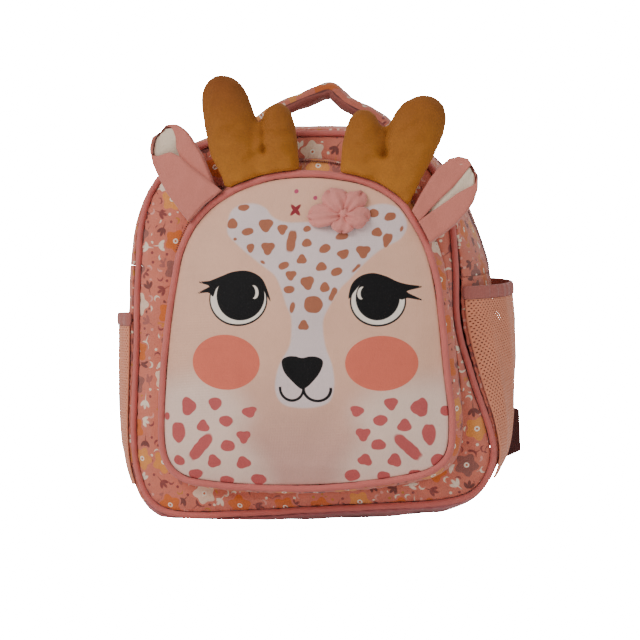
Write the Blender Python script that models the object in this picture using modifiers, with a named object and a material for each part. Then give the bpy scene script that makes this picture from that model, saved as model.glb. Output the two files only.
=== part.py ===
"""Kids' animal backpack: a fawn with antlers and folded ears on a piped front pocket.

The bag stands on its sagging bottom, its front towards -Y and +Z up, in metres.
The origin is the middle of the flat patch that it rests on. Every cloth piece is a
sewn panel of its own: an open surface with a wall, or a lofted padded form. Panels
stop at the piping, so each seam shows as a narrow gap on both sides of its cord.
"""
import math

import bmesh
import bpy
import numpy as np

# Body, measured at the seams
BODY_HALF_WIDTH = 0.140
BODY_HEIGHT = 0.298
BODY_DEPTH = 0.100
SIDE_SWELL = 0.020
FRONT_CROWN = 0.013
FOOT_CROWN = 0.64 * FRONT_CROWN
BACK_CROWN = 0.004

# Cloth, padding and seams
CLOTH = 0.0016
BACK_PADDING = 0.008
PIPING_RADIUS = 0.0025
GAP = 0.0003
SEAM_STEP = 0.0022

# Front pocket
POCKET_HALF_WIDTH = 0.110
POCKET_HEIGHT = 0.236
POCKET_FOOT = 0.030
POCKET_SHIFT = 0.006
POCKET_DEPTH = 0.028
POCKET_CROWN = 0.022
POCKET_FLARE = 0.006
TOP_FLARE = 1.1
TOP_FLARE_REACH = 0.07
POCKET_PIPING_RADIUS = 0.0026

# Zips
ZIP_BEHIND_CREST = 0.008
TAPE_WIDTH = 0.012
TAPE_THICKNESS = 0.0012
COIL_WIDTH = 0.0046
COIL_HEIGHT = 0.0012
POCKET_ZIP_REACH = 0.15
SLIDER_LENGTH = 0.010
SLIDER_HEIGHT = 0.003
PULL_LENGTH = 0.026

# Antlers and ears
ANTLER_HEIGHT = 0.084
ANTLER_THICKNESS = 0.028
ANTLER_ROOT_THICKNESS = 0.008
EAR_CLOTH = 0.0020
LINING = 0.0012
EAR_FOLD = 0.0090
EAR_HALF_WIDTH = 0.019
LEFT_EAR_LENGTH = 0.066
RIGHT_EAR_LENGTH = 0.056

# Flower on the forehead
FLOWER_RADIUS = 0.027
PETAL_WIDTH = 0.019
PETAL_LOFT = 0.009
FLOWER_ACROSS = 0.039
FLOWER_UP = POCKET_FOOT + 0.873 * POCKET_HEIGHT

# Carry handle
HANDLE_HALF_SPAN = 0.058
HANDLE_RISE = 0.034
HANDLE_WIDTH = 0.022
HANDLE_THICKNESS = 0.014
HANDLE_BEHIND_CREST = 0.034

# Side pockets of mesh
MESH = 0.0014
MESH_CLEARANCE = 0.0009
MESH_FOOT_LEFT = 0.094 * BODY_HEIGHT
MESH_FOOT_RIGHT = 0.134 * BODY_HEIGHT
MESH_TOP_LEFT = 0.503 * BODY_HEIGHT
MESH_TOP_RIGHT = 0.577 * BODY_HEIGHT
MESH_STAND_LEFT = 0.0082
MESH_STAND_RIGHT = 0.0145
BINDING_HEIGHT = 0.010
BINDING_THICKNESS = 0.0028

# Shoulder straps and their webbing
STRAP_WIDTH = 0.056
STRAP_THICKNESS = 0.010
STRAP_TOP = 0.913 * BODY_HEIGHT
STRAP_BOTTOM = 0.389 * BODY_HEIGHT
STRAP_TOP_ACROSS = 0.038
STRAP_BOTTOM_ACROSS = 0.086
STRAP_ARCH = 0.034
WEBBING_WIDTH = 0.025
WEBBING_THICKNESS = 0.0020
LOCK_LENGTH = 0.026
LOCK_WIDTH = 0.032
LOCK_THICKNESS = 0.005
LOCK_SLOT = 0.005
TAB_REACH = 0.018
TAB_HEIGHT = 0.046
TAB_THICKNESS = 0.003
TAB_UP = 0.200 * BODY_HEIGHT

# Rings of the body's panels: how far towards the pocket's foot or the middle, and crown
EDGE_RING = (0.40, 0.42)
INNER_RINGS = (
    # of_foot, crown
    (0.62, 0.86),
    (0.28, 0.97),
)
BACK_RINGS = (
    # of_edge, crown
    (0.90, 0.70),
    (0.50, 1.00),
)

# The front seam: across in half widths, up in heights, swell of the gusset beside it in SIDE_SWELL
BODY_OUTLINE = (
    # across, up, swell
    (0.00, 1.000, 0.42),
    (-0.34, 0.995, 0.42),
    (-0.61, 0.960, 0.50),
    (-0.81, 0.880, 0.45),
    (-0.90, 0.780, 0.68),
    (-0.93, 0.620, 0.88),
    (-0.94, 0.420, 0.76),
    (-0.955, 0.220, 0.62),
    (-0.93, 0.115, 0.66),
    (-0.85, 0.040, 0.70),
    (-0.68, 0.012, 0.85),
    (-0.30, 0.020, 0.80),
    (0.10, 0.036, 0.64),
    (0.50, 0.050, 0.58),
    (0.80, 0.064, 0.46),
    (0.96, 0.095, 0.24),
    (1.045, 0.170, 0.28),
    (1.02, 0.260, 0.52),
    (0.93, 0.380, 0.85),
    (0.85, 0.520, 1.00),
    (0.84, 0.660, 0.82),
    (0.81, 0.790, 0.30),
    (0.74, 0.885, 0.17),
    (0.60, 0.955, 0.22),
    (0.34, 0.993, 0.42),
)

# The pocket seam: across in pocket half widths, up in pocket heights above its foot
POCKET_OUTLINE = (
    # across, up
    (-0.02, 1.000),
    (-0.23, 0.990),
    (-0.44, 0.960),
    (-0.62, 0.912),
    (-0.76, 0.845),
    (-0.85, 0.765),
    (-0.90, 0.670),
    (-0.955, 0.500),
    (-0.990, 0.310),
    (-1.000, 0.170),
    (-0.965, 0.080),
    (-0.855, 0.028),
    (-0.655, 0.008),
    (-0.33, 0.000),
    (0.04, 0.003),
    (0.40, 0.018),
    (0.72, 0.044),
    (0.90, 0.072),
    (1.00, 0.130),
    (1.018, 0.235),
    (0.98, 0.400),
    (0.935, 0.600),
    (0.875, 0.735),
    (0.79, 0.825),
    (0.65, 0.915),
    (0.45, 0.970),
    (0.20, 0.995),
)

# Antler lobes: across and up from the pocket's top centre, half width and half thickness,
# the first three in antler heights and the last in half antler thicknesses
LEFT_BEAM = (
    # across, up, half_width, half_thickness
    (-0.50, -0.18, 0.185, 0.00),
    (-0.560, 0.045, 0.195, 0.50),
    (-0.62, 0.225, 0.232, 0.88),
    (-0.655, 0.446, 0.242, 1.00),
    (-0.712, 0.660, 0.220, 0.94),
    (-0.742, 0.760, 0.190, 0.82),
    (-0.760, 0.828, 0.138, 0.60),
    (-0.768, 0.864, 0.080, 0.32),
    (-0.772, 0.880, 0.030, 0.05),
)
LEFT_TINE = (
    (-0.27, -0.16, 0.220, 0.00),
    (-0.242, 0.090, 0.210, 0.52),
    (-0.236, 0.268, 0.195, 0.84),
    (-0.228, 0.440, 0.160, 0.82),
    (-0.222, 0.535, 0.128, 0.66),
    (-0.219, 0.592, 0.088, 0.44),
    (-0.217, 0.622, 0.045, 0.15),
    (-0.216, 0.632, 0.018, -0.05),
)
RIGHT_BEAM = (
    (0.76, -0.310, 0.170, 0.00),
    (0.85, 0.000, 0.215, 0.50),
    (0.94, 0.226, 0.245, 0.88),
    (1.03, 0.417, 0.242, 1.00),
    (1.085, 0.540, 0.212, 0.90),
    (1.100, 0.605, 0.168, 0.72),
    (1.108, 0.650, 0.108, 0.44),
    (1.112, 0.674, 0.045, 0.12),
)
RIGHT_TINE = (
    (0.50, -0.200, 0.205, 0.00),
    (0.540, 0.100, 0.205, 0.52),
    (0.546, 0.260, 0.195, 0.84),
    (0.542, 0.410, 0.158, 0.82),
    (0.535, 0.490, 0.124, 0.64),
    (0.530, 0.536, 0.082, 0.40),
    (0.527, 0.560, 0.038, 0.10),
)

# Ears: half width and each side flap's reach over the front, in EAR_HALF_WIDTH, along the length
LEFT_EAR = (
    # along, half_width, inner_flap, outer_flap
    (0.00, 0.78, 0.72, 0.70),
    (0.22, 0.90, 0.80, 0.78),
    (0.45, 1.00, 0.80, 0.85),
    (0.64, 0.98, 0.50, 0.70),
    (0.82, 0.92, 0.24, 0.34),
    (0.94, 0.70, 0.12, 0.14),
    (1.00, 0.38, 0.05, 0.05),
)
RIGHT_EAR = (
    (0.00, 0.72, 0.60, 0.66),
    (0.22, 0.88, 0.68, 0.74),
    (0.45, 1.00, 0.76, 0.82),
    (0.64, 1.02, 0.66, 0.74),
    (0.82, 0.92, 0.34, 0.42),
    (0.94, 0.68, 0.14, 0.18),
    (1.00, 0.38, 0.05, 0.05),
)
# Where each ear is sewn in, round the pocket seam, and how far its tip leans outwards
LEFT_EAR_SEAT = 0.101
LEFT_EAR_LEAN = math.radians(30.0)
RIGHT_EAR_SEAT = -0.133
RIGHT_EAR_LEAN = math.radians(41.0)

# Petals round the gather: turn from +X, length in flower radii
PETALS = (
    # turn, length
    (math.radians(168.0), 1.00),
    (math.radians(104.0), 0.82),
    (math.radians(42.0), 0.72),
    (math.radians(-34.0), 0.66),
    (math.radians(-112.0), 0.60),
)

# Petal sections from the gather to the tip: along its length, in widths and in lofts
PETAL_ROWS = (
    # along, width, loft
    (0.16, 0.60, 0.55),
    (0.38, 0.90, 0.95),
    (0.64, 1.00, 1.00),
    (0.86, 0.80, 0.80),
    (0.97, 0.42, 0.48),
)

# Handle centre line: across in half spans, up in rises
HANDLE_LINE = (
    # across, up
    (-1.00, 0.00),
    (-0.96, 0.16),
    (-0.78, 0.37),
    (-0.45, 0.65),
    (-0.10, 0.88),
    (0.14, 1.00),
    (0.27, 0.84),
    (0.42, 0.64),
    (0.84, 0.27),
    (0.95, 0.12),
    (0.98, 0.00),
)

# Strap from its top to its lower end: along, across, behind the back in arches, width and thickness
STRAP_ROWS = (
    # along, across, arch, width, thickness
    (0.00, 0.00, 0.00, 0.62, 0.45),
    (0.08, 0.02, 0.20, 0.80, 0.90),
    (0.25, 0.10, 0.68, 1.00, 1.00),
    (0.50, 0.32, 1.00, 1.00, 1.00),
    (0.75, 0.64, 0.85, 0.92, 1.00),
    (0.92, 0.88, 0.55, 0.74, 0.85),
    (1.00, 1.00, 0.42, 0.56, 0.50),
)

# Mesh pocket rows: along from its foot to its top, stand off the gusset in MESH_STAND
MESH_ROWS = (
    # along, stand
    (0.00, 0.04),
    (0.08, 0.14),
    (0.18, 0.27),
    (0.32, 0.48),
    (0.56, 0.82),
    (0.80, 1.00),
    (1.00, 1.00),
)

# Stations across the gusset, -1 at the front seam and +1 at the back seam
BASE_STATIONS = (-0.85, -0.45, 0.0, 0.45, 0.85)
MESH_STATIONS = (-0.97, -0.80, -0.45, 0.0, 0.45, 0.75, 0.90)
LOOP_COUNT = 52
ZIP_STEPS = 10
COIL_SEGMENTS = 18
SLIDER_STEP = 5
# Rings of the pocket face, as shares of the way from its middle to its seam
FACE_RINGS = (1.0, 0.86, 0.64, 0.38, 0.16)
SAMPLES_PER_ROW = 12

PRINT = (0.62, 0.19, 0.12)
PLAIN_PINK = (0.50, 0.14, 0.12)
PIPING_PINK = (0.45, 0.11, 0.10)
FACE = (0.60, 0.42, 0.30)
MUSTARD = (0.42, 0.13, 0.010)
CREAM = (0.58, 0.48, 0.37)
FLOWER_PINK = (0.66, 0.26, 0.22)
MESH_PEACH = (0.56, 0.26, 0.13)
BINDING_BROWN = (0.30, 0.09, 0.08)
MAROON = (0.05, 0.008, 0.008)

PARTS = "animal_backpack"
CUTTERS = "cutters"


def clear_scene():
    """Remove what the scene starts with."""
    for found in list(bpy.data.objects):
        bpy.data.objects.remove(found, do_unlink=True)


def collection(name):
    """The named collection, made on first use."""
    found = bpy.data.collections.get(name)
    if found is None:
        found = bpy.data.collections.new(name)
        bpy.context.scene.collection.children.link(found)
    return found


def cloth_material(name, colour, roughness=0.85):
    """A plain Principled material in the piece's own colour."""
    made = bpy.data.materials.new(name)
    made.use_nodes = True
    shader = made.node_tree.nodes["Principled BSDF"]
    shader.inputs["Base Color"].default_value = (*colour, 1.0)
    shader.inputs["Roughness"].default_value = roughness
    shader.inputs["Metallic"].default_value = 0.0
    made.diffuse_color = (*colour, 1.0)
    return made


def smooth_closed(rows):
    """A dense closed Catmull-Rom curve through the rows, in the rows' own columns."""
    knots = np.array(rows, dtype=float)
    before = np.roll(knots, 1, axis=0)[:, None, :]
    here = knots[:, None, :]
    after = np.roll(knots, -1, axis=0)[:, None, :]
    beyond = np.roll(knots, -2, axis=0)[:, None, :]
    t = (np.arange(SAMPLES_PER_ROW) / SAMPLES_PER_ROW)[None, :, None]
    slope = after - before
    bend = 2.0 * before - 5.0 * here + 4.0 * after - beyond
    twist = 3.0 * here - before - 3.0 * after + beyond
    dense = 0.5 * (2.0 * here + slope * t + bend * t**2 + twist * t**3)
    return dense.reshape(-1, knots.shape[1])


def at_shares(curve, shares):
    """Rows of a closed dense curve at shares of its length, counted from its first row."""
    closed = np.vstack([curve, curve[:1]])
    steps = np.linalg.norm(np.diff(closed[:, :2], axis=0), axis=1)
    length = np.concatenate([[0.0], np.cumsum(steps)])
    where = np.mod(shares, 1.0) * length[-1]
    columns = [np.interp(where, length, closed[:, c]) for c in range(closed.shape[1])]
    return np.stack(columns, axis=-1)


def curve_length(curve):
    """Length of a closed dense curve."""
    closed = np.vstack([curve, curve[:1]])
    return float(np.linalg.norm(np.diff(closed[:, :2], axis=0), axis=1).sum())


def outward(curve, shares, reach=0.006):
    """Unit normals of a curve that runs anticlockwise in X and Z, pointing out of it."""
    along = at_shares(curve, shares + reach)[..., :2] - at_shares(curve, shares - reach)[..., :2]
    along = along / np.linalg.norm(along, axis=-1, keepdims=True)
    return np.stack([along[..., 1], -along[..., 0]], axis=-1)


def loop_shares():
    """Even shares round a closed seam; all panels on it use the same, so their facets match."""
    return np.arange(LOOP_COUNT) / LOOP_COUNT


def moved_out(curve, shares, distance):
    """Points of the curve at the shares, moved out by the distance."""
    return at_shares(curve, shares)[..., :2] + distance * outward(curve, shares)


def body_front():
    """Front seam: X, Z and the gusset's swell there."""
    scale = np.array([BODY_HALF_WIDTH, BODY_HEIGHT, SIDE_SWELL])
    return smooth_closed(np.array(BODY_OUTLINE) * scale)


def body_back(front):
    """Back seam: the mean of the front seam and its mirror image, so it is even."""
    shares = np.arange(len(front)) / len(front)
    here = at_shares(front, shares)
    mirrored = at_shares(front, -shares) * np.array([-1.0, 1.0, 1.0])
    return 0.5 * (here + mirrored)


def pocket_seam():
    """Seam round the pocket's face: X and Z."""
    rows = np.array(POCKET_OUTLINE)
    across = rows[:, 0] * POCKET_HALF_WIDTH + POCKET_SHIFT
    up = rows[:, 1] * POCKET_HEIGHT + POCKET_FOOT
    return smooth_closed(np.stack([across, up], axis=-1))


FRONT = body_front()
BACK = body_back(FRONT)
POCKET = pocket_seam()
FRONT_Y = -BODY_DEPTH / 2.0
BACK_Y = BODY_DEPTH / 2.0
POCKET_Y = FRONT_Y - POCKET_DEPTH
PANEL_EDGE = PIPING_RADIUS + GAP
INSIDE = np.array([0.0, 0.0, BODY_HEIGHT / 2.0])


def swell_profile(across):
    """How full the gusset is between its seams: 0 at a seam, 1 midway."""
    return (1.0 - np.abs(across) ** 2.2) ** 0.75


def gusset_surface(shares, across, lift=0.0):
    """Outer skin of the gusset, lifted outwards, and never below the floor.

    Between the seams it is seam + out * (step + (swell - step) * profile(across) + lift).
    """
    shares, across = np.broadcast_arrays(shares, across)
    front = at_shares(FRONT, shares)
    back = at_shares(BACK, shares)
    blend = ((across + 1.0) / 2.0)[..., None]
    seam = front * (1.0 - blend) + back * blend
    rise = SEAM_STEP + (front[..., 2] - SEAM_STEP) * swell_profile(across) + lift
    plane = seam[..., :2] + outward(FRONT, shares) * rise[..., None]
    depth = across * BODY_DEPTH / 2.0
    return np.stack([plane[..., 0], depth, np.maximum(plane[..., 1], 0.0)], axis=-1)


def edge_share():
    """The station at which the gusset's edge clears the piping."""
    return 1.0 - 2.0 * SEAM_STEP / BODY_DEPTH


def share_at_height(height, side):
    """Share of the front seam where its left (-1) or right (+1) side is at the height."""
    shares = np.linspace(0.06, 0.42, 200)
    heights = at_shares(FRONT, -side * shares)[:, 1]
    return -side * float(np.interp(-height, -heights, shares))


def grid_faces(rows, columns, around=False):
    """Quads between neighbouring points of a grid numbered row by row."""
    faces = []
    last = columns if around else columns - 1
    for row in range(rows - 1):
        for column in range(last):
            ahead = (column + 1) % columns
            here = row * columns
            above = here + columns
            faces.append((here + column, here + ahead, above + ahead, above + column))
    return faces


def add_object(name, vertices, faces, material, inside, home=PARTS):
    """A mesh object whose faces look away from the inside point."""
    mesh = bpy.data.meshes.new(name)
    mesh.from_pydata([tuple(v) for v in vertices], [], faces)
    mesh.materials.append(material)
    net = bmesh.new()
    net.from_mesh(mesh)
    centre = np.array(inside)
    facing = 0.0
    for face in net.faces:
        away = np.array(face.calc_center_median()) - centre
        facing += face.calc_area() * float(np.dot(face.normal, away))
    if facing < 0.0:
        bmesh.ops.reverse_faces(net, faces=net.faces)
    net.to_mesh(mesh)
    net.free()
    mesh.shade_smooth()
    mesh.set_sharp_from_angle(angle=math.radians(50.0))
    made = bpy.data.objects.new(name, mesh)
    collection(home).objects.link(made)
    return made


def add_wall(piece, thickness):
    """A wall of even thickness behind the piece's outer face."""
    wall = piece.modifiers.new("wall", "SOLIDIFY")
    wall.thickness = thickness
    wall.offset = -1.0
    wall.use_even_offset = True
    wall.use_rim = True
    return piece


def panel(name, rings, thickness, material, centre=None, around=False, inside=INSIDE):
    """A sewn panel from rows of points, closed by a fan round a centre point if there is one."""
    rows, columns = len(rings), len(rings[0])
    vertices = np.vstack(rings)
    faces = grid_faces(rows, columns, around)
    if centre is not None:
        vertices = np.vstack([vertices, [centre]])
        start = (rows - 1) * columns
        hub = len(vertices) - 1
        faces += [(start + c, start + (c + 1) % columns, hub) for c in range(columns)]
    return add_wall(add_object(name, vertices, faces, material, inside), thickness)


def lofted(name, sections, material, home=PARTS):
    """A solid through closed sections of equal count, with both ends filled."""
    rows, columns = len(sections), len(sections[0])
    vertices = np.vstack(sections)
    faces = grid_faces(rows, columns, around=True)
    faces.append(tuple(range(columns)))
    faces.append(tuple(range((rows - 1) * columns, rows * columns)))
    piece = add_object(name, vertices, faces, material, vertices.mean(axis=0), home)
    net = bmesh.new()
    net.from_mesh(piece.data)
    bmesh.ops.recalc_face_normals(net, faces=net.faces)
    if net.calc_volume(signed=True) < 0.0:
        bmesh.ops.reverse_faces(net, faces=net.faces)
    net.to_mesh(piece.data)
    net.free()
    return piece


def cord_round(name, points, radius, material):
    """A closed round cord through the points."""
    curve = bpy.data.curves.new(name, "CURVE")
    curve.dimensions = "3D"
    curve.bevel_depth = radius
    curve.bevel_resolution = 1
    curve.use_fill_caps = True
    spline = curve.splines.new("POLY")
    spline.points.add(len(points) - 1)
    flat = np.hstack([points, np.ones((len(points), 1))]).ravel()
    spline.points.foreach_set("co", flat)
    spline.use_cyclic_u = True
    curve.materials.append(material)
    made = bpy.data.objects.new(name, curve)
    collection(PARTS).objects.link(made)
    return made


def loop_at(plane, depth):
    """Points in X and Z put at one depth, or at a depth each."""
    depths = np.broadcast_to(depth, (len(plane),))
    return np.stack([plane[:, 0], depths, plane[:, 1]], axis=-1)


def make_pipings(material):
    """The three round cords sewn into the body's two seams and the pocket's."""
    shares = loop_shares()
    front = loop_at(at_shares(FRONT, shares)[:, :2], FRONT_Y)
    back = loop_at(at_shares(BACK, shares)[:, :2], BACK_Y)
    pocket = loop_at(at_shares(POCKET, shares), POCKET_Y)
    cord_round("piping_front", front, PIPING_RADIUS, material)
    cord_round("piping_back", back, PIPING_RADIUS, material)
    cord_round("piping_pocket", pocket, POCKET_PIPING_RADIUS, material)


def make_front_panel(material):
    """Front of the main compartment, crowned, with one ring where the pocket is sewn on."""
    shares = loop_shares()
    edge = moved_out(FRONT, shares, -PANEL_EDGE)
    foot = moved_out(POCKET, shares, flare(shares)[:, None])
    middle = foot.mean(axis=0)
    to_foot, crown = EDGE_RING
    rings = [
        loop_at(edge, FRONT_Y),
        loop_at(edge + (foot - edge) * to_foot, FRONT_Y - crown * FRONT_CROWN),
        loop_at(foot, FRONT_Y - FOOT_CROWN),
    ]
    for of_foot, crown in INNER_RINGS:
        rings.append(loop_at(middle + (foot - middle) * of_foot, FRONT_Y - crown * FRONT_CROWN))
    centre = (middle[0], FRONT_Y - FRONT_CROWN, middle[1])
    panel("front_panel", rings, CLOTH, material, centre, around=True)


def make_back_panel(material):
    """Padded back that lies against the wearer."""
    shares = loop_shares()
    edge = moved_out(BACK, shares, -PANEL_EDGE)
    middle = edge.mean(axis=0)
    rings = [loop_at(edge, BACK_Y)]
    for of_edge, crown in BACK_RINGS:
        rings.append(loop_at(middle + (edge - middle) * of_edge, BACK_Y + crown * BACK_CROWN))
    centre = (middle[0], BACK_Y + BACK_CROWN, middle[1])
    panel("back_panel", rings, BACK_PADDING, material, centre, around=True)


def make_gusset_base(material):
    """Sides and bottom of the body in one strip, flat where the bag rests."""
    shares = np.arange(ZIP_STEPS, LOOP_COUNT - ZIP_STEPS + 1) / LOOP_COUNT
    across = np.array([-edge_share(), *BASE_STATIONS, edge_share()])
    grid = gusset_surface(shares[:, None], across[None, :])
    panel("gusset_base", grid, CLOTH, material)


def top_shares():
    """Shares over the top of the body, from end to end of the zip, short of the base by a seam."""
    shares = np.arange(-ZIP_STEPS, ZIP_STEPS + 1) / LOOP_COUNT
    seam = GAP / curve_length(FRONT)
    shares[0] += seam
    shares[-1] -= seam
    return shares


def make_gusset_top(print_cloth):
    """The two strips on either side of the zip, round the top of the body."""
    shares = top_shares()
    half = BODY_DEPTH / 2.0
    tape_front = (ZIP_BEHIND_CREST - TAPE_WIDTH / 2.0) / half
    tape_back = (ZIP_BEHIND_CREST + TAPE_WIDTH / 2.0) / half
    strips = {
        "gusset_top_front": (-edge_share(), -0.85, -0.45, tape_front - GAP / half),
        "gusset_top_back": (tape_back + GAP / half, 0.55, 0.85, edge_share()),
    }
    for name, stations in strips.items():
        grid = gusset_surface(shares[:, None], np.array(stations)[None, :])
        panel(name, grid, CLOTH, print_cloth)


def outward_vectors(curve, shares):
    """Outward unit normals of the curve as vectors in X, Y and Z."""
    plane = outward(curve, shares)
    return np.stack([plane[:, 0], np.zeros(len(plane)), plane[:, 1]], axis=-1)


def tape_outline():
    """A zip tape in section: across the tape and above the cloth, its foot drawn in a little."""
    half = TAPE_WIDTH / 2.0
    coil = COIL_WIDTH / 2.0
    foot = half - 2.0 * GAP
    return (
        (-foot, -TAPE_THICKNESS),
        (-half, 0.0),
        (-coil, 0.0),
        (-coil * 0.6, COIL_HEIGHT),
        (coil * 0.6, COIL_HEIGHT),
        (coil, 0.0),
        (half, 0.0),
        (foot, -TAPE_THICKNESS),
    )


def make_main_zip(material):
    """Tape and coil between the two strips of the top gusset."""
    shares = top_shares()
    out = outward_vectors(FRONT, shares)
    columns = []
    for across, height in tape_outline():
        station = (ZIP_BEHIND_CREST + across) * 2.0 / BODY_DEPTH
        skin = gusset_surface(shares, np.full(len(shares), station))
        columns.append(skin + height * out)
    lofted("main_zip", np.stack(columns, axis=1), material)


def placed_box(name, centre, along, across, size, material, home=PARTS):
    """A box set by its centre, its long and wide directions, and its three sides."""
    long_way = np.array(along) / np.linalg.norm(along)
    wide_way = np.array(across) - np.dot(across, long_way) * long_way
    wide_way = wide_way / np.linalg.norm(wide_way)
    up_way = np.cross(long_way, wide_way)
    turn = np.stack([long_way, wide_way, up_way], axis=1)
    made = bmesh.new()
    bmesh.ops.create_cube(made, size=1.0)
    for vertex in made.verts:
        vertex.co = centre + turn @ (np.array(vertex.co) * np.array(size))
    mesh = bpy.data.meshes.new(name)
    made.to_mesh(mesh)
    made.free()
    mesh.materials.append(material)
    box = bpy.data.objects.new(name, mesh)
    collection(home).objects.link(box)
    return box


def combine(piece, other, operation):
    """Join the other to the piece, or cut it out; the other stays as a hidden helper."""
    step = piece.modifiers.new(operation.lower(), "BOOLEAN")
    step.operation = operation
    step.solver = "EXACT"
    step.object = other
    other.hide_render = True
    other.display_type = "WIRE"
    return piece


def make_zip_slider(material):
    """Slider body astride the coil, with its pull lying along the tape."""
    share = np.array([SLIDER_STEP / LOOP_COUNT, (SLIDER_STEP + 0.5) / LOOP_COUNT])
    station = np.full(2, ZIP_BEHIND_CREST * 2.0 / BODY_DEPTH)
    spots = gusset_surface(share, station)
    out = outward_vectors(FRONT, share)[0]
    along = spots[1] - spots[0]
    along = along / np.linalg.norm(along)
    deep = np.array([0.0, 1.0, 0.0])
    lift = COIL_HEIGHT + GAP + SLIDER_HEIGHT / 2.0
    body = placed_box(
        "zip_slider", spots[0] + lift * out, along, deep,
        (SLIDER_LENGTH, TAPE_WIDTH * 0.7, SLIDER_HEIGHT), material)
    pull_centre = spots[0] + lift * out + along * (SLIDER_LENGTH + PULL_LENGTH) * 0.42
    pull = placed_box(
        "zip_pull_shape", pull_centre, along, deep,
        (PULL_LENGTH, TAPE_WIDTH * 0.42, SLIDER_HEIGHT * 0.6), material, CUTTERS)
    combine(body, pull, "UNION")


def flare(shares):
    """How far the pocket's side band spreads at its foot: more at the top, between the antlers."""
    from_top = np.mod(shares + 0.5, 1.0) - 0.5
    return POCKET_FLARE * (1.0 + TOP_FLARE * np.exp(-(from_top / TOP_FLARE_REACH) ** 2))


def pocket_gusset_surface(shares, depth_shares):
    """Outer skin of the pocket's side band: 0 at the front panel, 1 at the pocket seam."""
    shares, t = np.broadcast_arrays(shares, depth_shares)
    seam = at_shares(POCKET, shares)
    out = outward(POCKET, shares)
    stand = flare(shares) * (1.0 - t) + 2.0 * GAP * t + 0.25 * POCKET_FLARE * np.sin(math.pi * t)
    plane = seam + out * stand[..., None]
    slant = flare(shares) / POCKET_FLARE - 1.0
    foot = FRONT_Y - FOOT_CROWN - 2.0 * GAP - 0.65 * CLOTH * slant
    edge = POCKET_Y + POCKET_PIPING_RADIUS + GAP
    depth = foot + (edge - foot) * t
    return np.stack([plane[..., 0], depth, plane[..., 1]], axis=-1)


def make_pocket_gusset(material):
    """Side band of the pocket, flared where it meets the front panel."""
    shares = loop_shares()
    rings = [pocket_gusset_surface(shares, np.full(LOOP_COUNT, t)) for t in (0.0, 0.5, 1.0)]
    panel("pocket_gusset", rings, CLOTH, material, around=True)


def make_pocket_zip(material):
    """A plain coil along the top of the pocket's side band, behind antlers and ears."""
    shares = np.linspace(-POCKET_ZIP_REACH, POCKET_ZIP_REACH, COIL_SEGMENTS + 1)
    count = len(shares)
    band = POCKET_DEPTH - FOOT_CROWN
    out = outward_vectors(POCKET, shares)
    half = COIL_WIDTH / 2.0
    outline = (
        (-half, 3.0 * GAP),
        (-half * 0.6, 3.0 * GAP + COIL_HEIGHT),
        (half * 0.6, 3.0 * GAP + COIL_HEIGHT),
        (half, 3.0 * GAP),
    )
    columns = []
    for across, height in outline:
        t = np.full(count, 0.40 + across / band)
        columns.append(pocket_gusset_surface(shares, t) + height * out)
    lofted("pocket_zip", np.stack(columns, axis=1), material)


def face_crown(share_out):
    """Depth of the pocket face at a share of the way from its middle to its seam."""
    return POCKET_Y - POCKET_CROWN * (1.0 - share_out ** 2.4)


def pocket_middle():
    """Middle of the pocket seam in X and Z."""
    return at_shares(POCKET, loop_shares()).mean(axis=0)


def face_edge(shares):
    """Edge of the pocket face, drawn in from the seam by its piping and a gap."""
    return moved_out(POCKET, shares, -(POCKET_PIPING_RADIUS + GAP))


def face_depth(across, up):
    """Y of the pocket face at a place in X and Z, straight between the face's rings."""
    middle = pocket_middle()
    spokes = face_edge(np.arange(240) / 240) - middle
    turns = np.arctan2(spokes[:, 1], spokes[:, 0])
    order = np.argsort(turns)
    radii = np.linalg.norm(spokes, axis=1)[order]
    turn = math.atan2(up - middle[1], across - middle[0])
    reach = math.hypot(across - middle[0], up - middle[1])
    radius = float(np.interp(turn, turns[order], radii, period=2.0 * math.pi))
    rings = np.array((0.0, *reversed(FACE_RINGS)))
    return float(np.interp(reach / radius, rings, face_crown(rings)))


def make_pocket_face(material):
    """The printed fawn's face, full in its middle."""
    shares = loop_shares()
    edge = face_edge(shares)
    middle = pocket_middle()
    rings = []
    for share_out in FACE_RINGS:
        plane = middle + (edge - middle) * share_out
        rings.append(loop_at(plane, face_crown(share_out)))
    centre = (middle[0], face_crown(0.0), middle[1])
    panel("pocket_face", rings, CLOTH, material, centre, around=True)


def lobe(name, rows, material, home):
    """A stuffed lobe: ellipses square to its spine, drawn thin where it is sewn in."""
    table = np.array(rows)
    spine_x = POCKET_SHIFT + table[:, 0] * ANTLER_HEIGHT
    spine_z = POCKET_FOOT + POCKET_HEIGHT + table[:, 1] * ANTLER_HEIGHT
    half_width = table[:, 2] * ANTLER_HEIGHT
    growth = (ANTLER_THICKNESS - ANTLER_ROOT_THICKNESS) / 2.0
    half_thick = ANTLER_ROOT_THICKNESS / 2.0 + growth * table[:, 3]
    run = np.stack([np.gradient(spine_x), np.gradient(spine_z)], axis=-1)
    run = run / np.linalg.norm(run, axis=-1, keepdims=True)
    turns = np.arange(14) * math.tau / 14
    sections = []
    for i in range(len(table)):
        side = half_width[i] * np.cos(turns)
        x = spine_x[i] + side * run[i, 1]
        z = spine_z[i] - side * run[i, 0]
        y = POCKET_Y + half_thick[i] * np.sin(turns)
        sections.append(np.stack([x, y, z], axis=-1))
    return lofted(name, sections, material, home)


def seam_block():
    """What the antlers are trimmed by: the pocket's piping and side band, with their clearance."""
    shares = loop_shares()
    edge = moved_out(POCKET, shares, POCKET_PIPING_RADIUS + GAP)
    sections = [loop_at(edge, POCKET_Y - 2.0 * ANTLER_THICKNESS), loop_at(edge, POCKET_Y)]
    clear = 2.0 * GAP * outward_vectors(POCKET, shares)
    sections += [pocket_gusset_surface(shares, t) + clear for t in (0.9, 0.5, 0.0)]
    return lofted("seam_block", sections, bpy.data.materials["mustard_felt"], CUTTERS)


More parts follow.
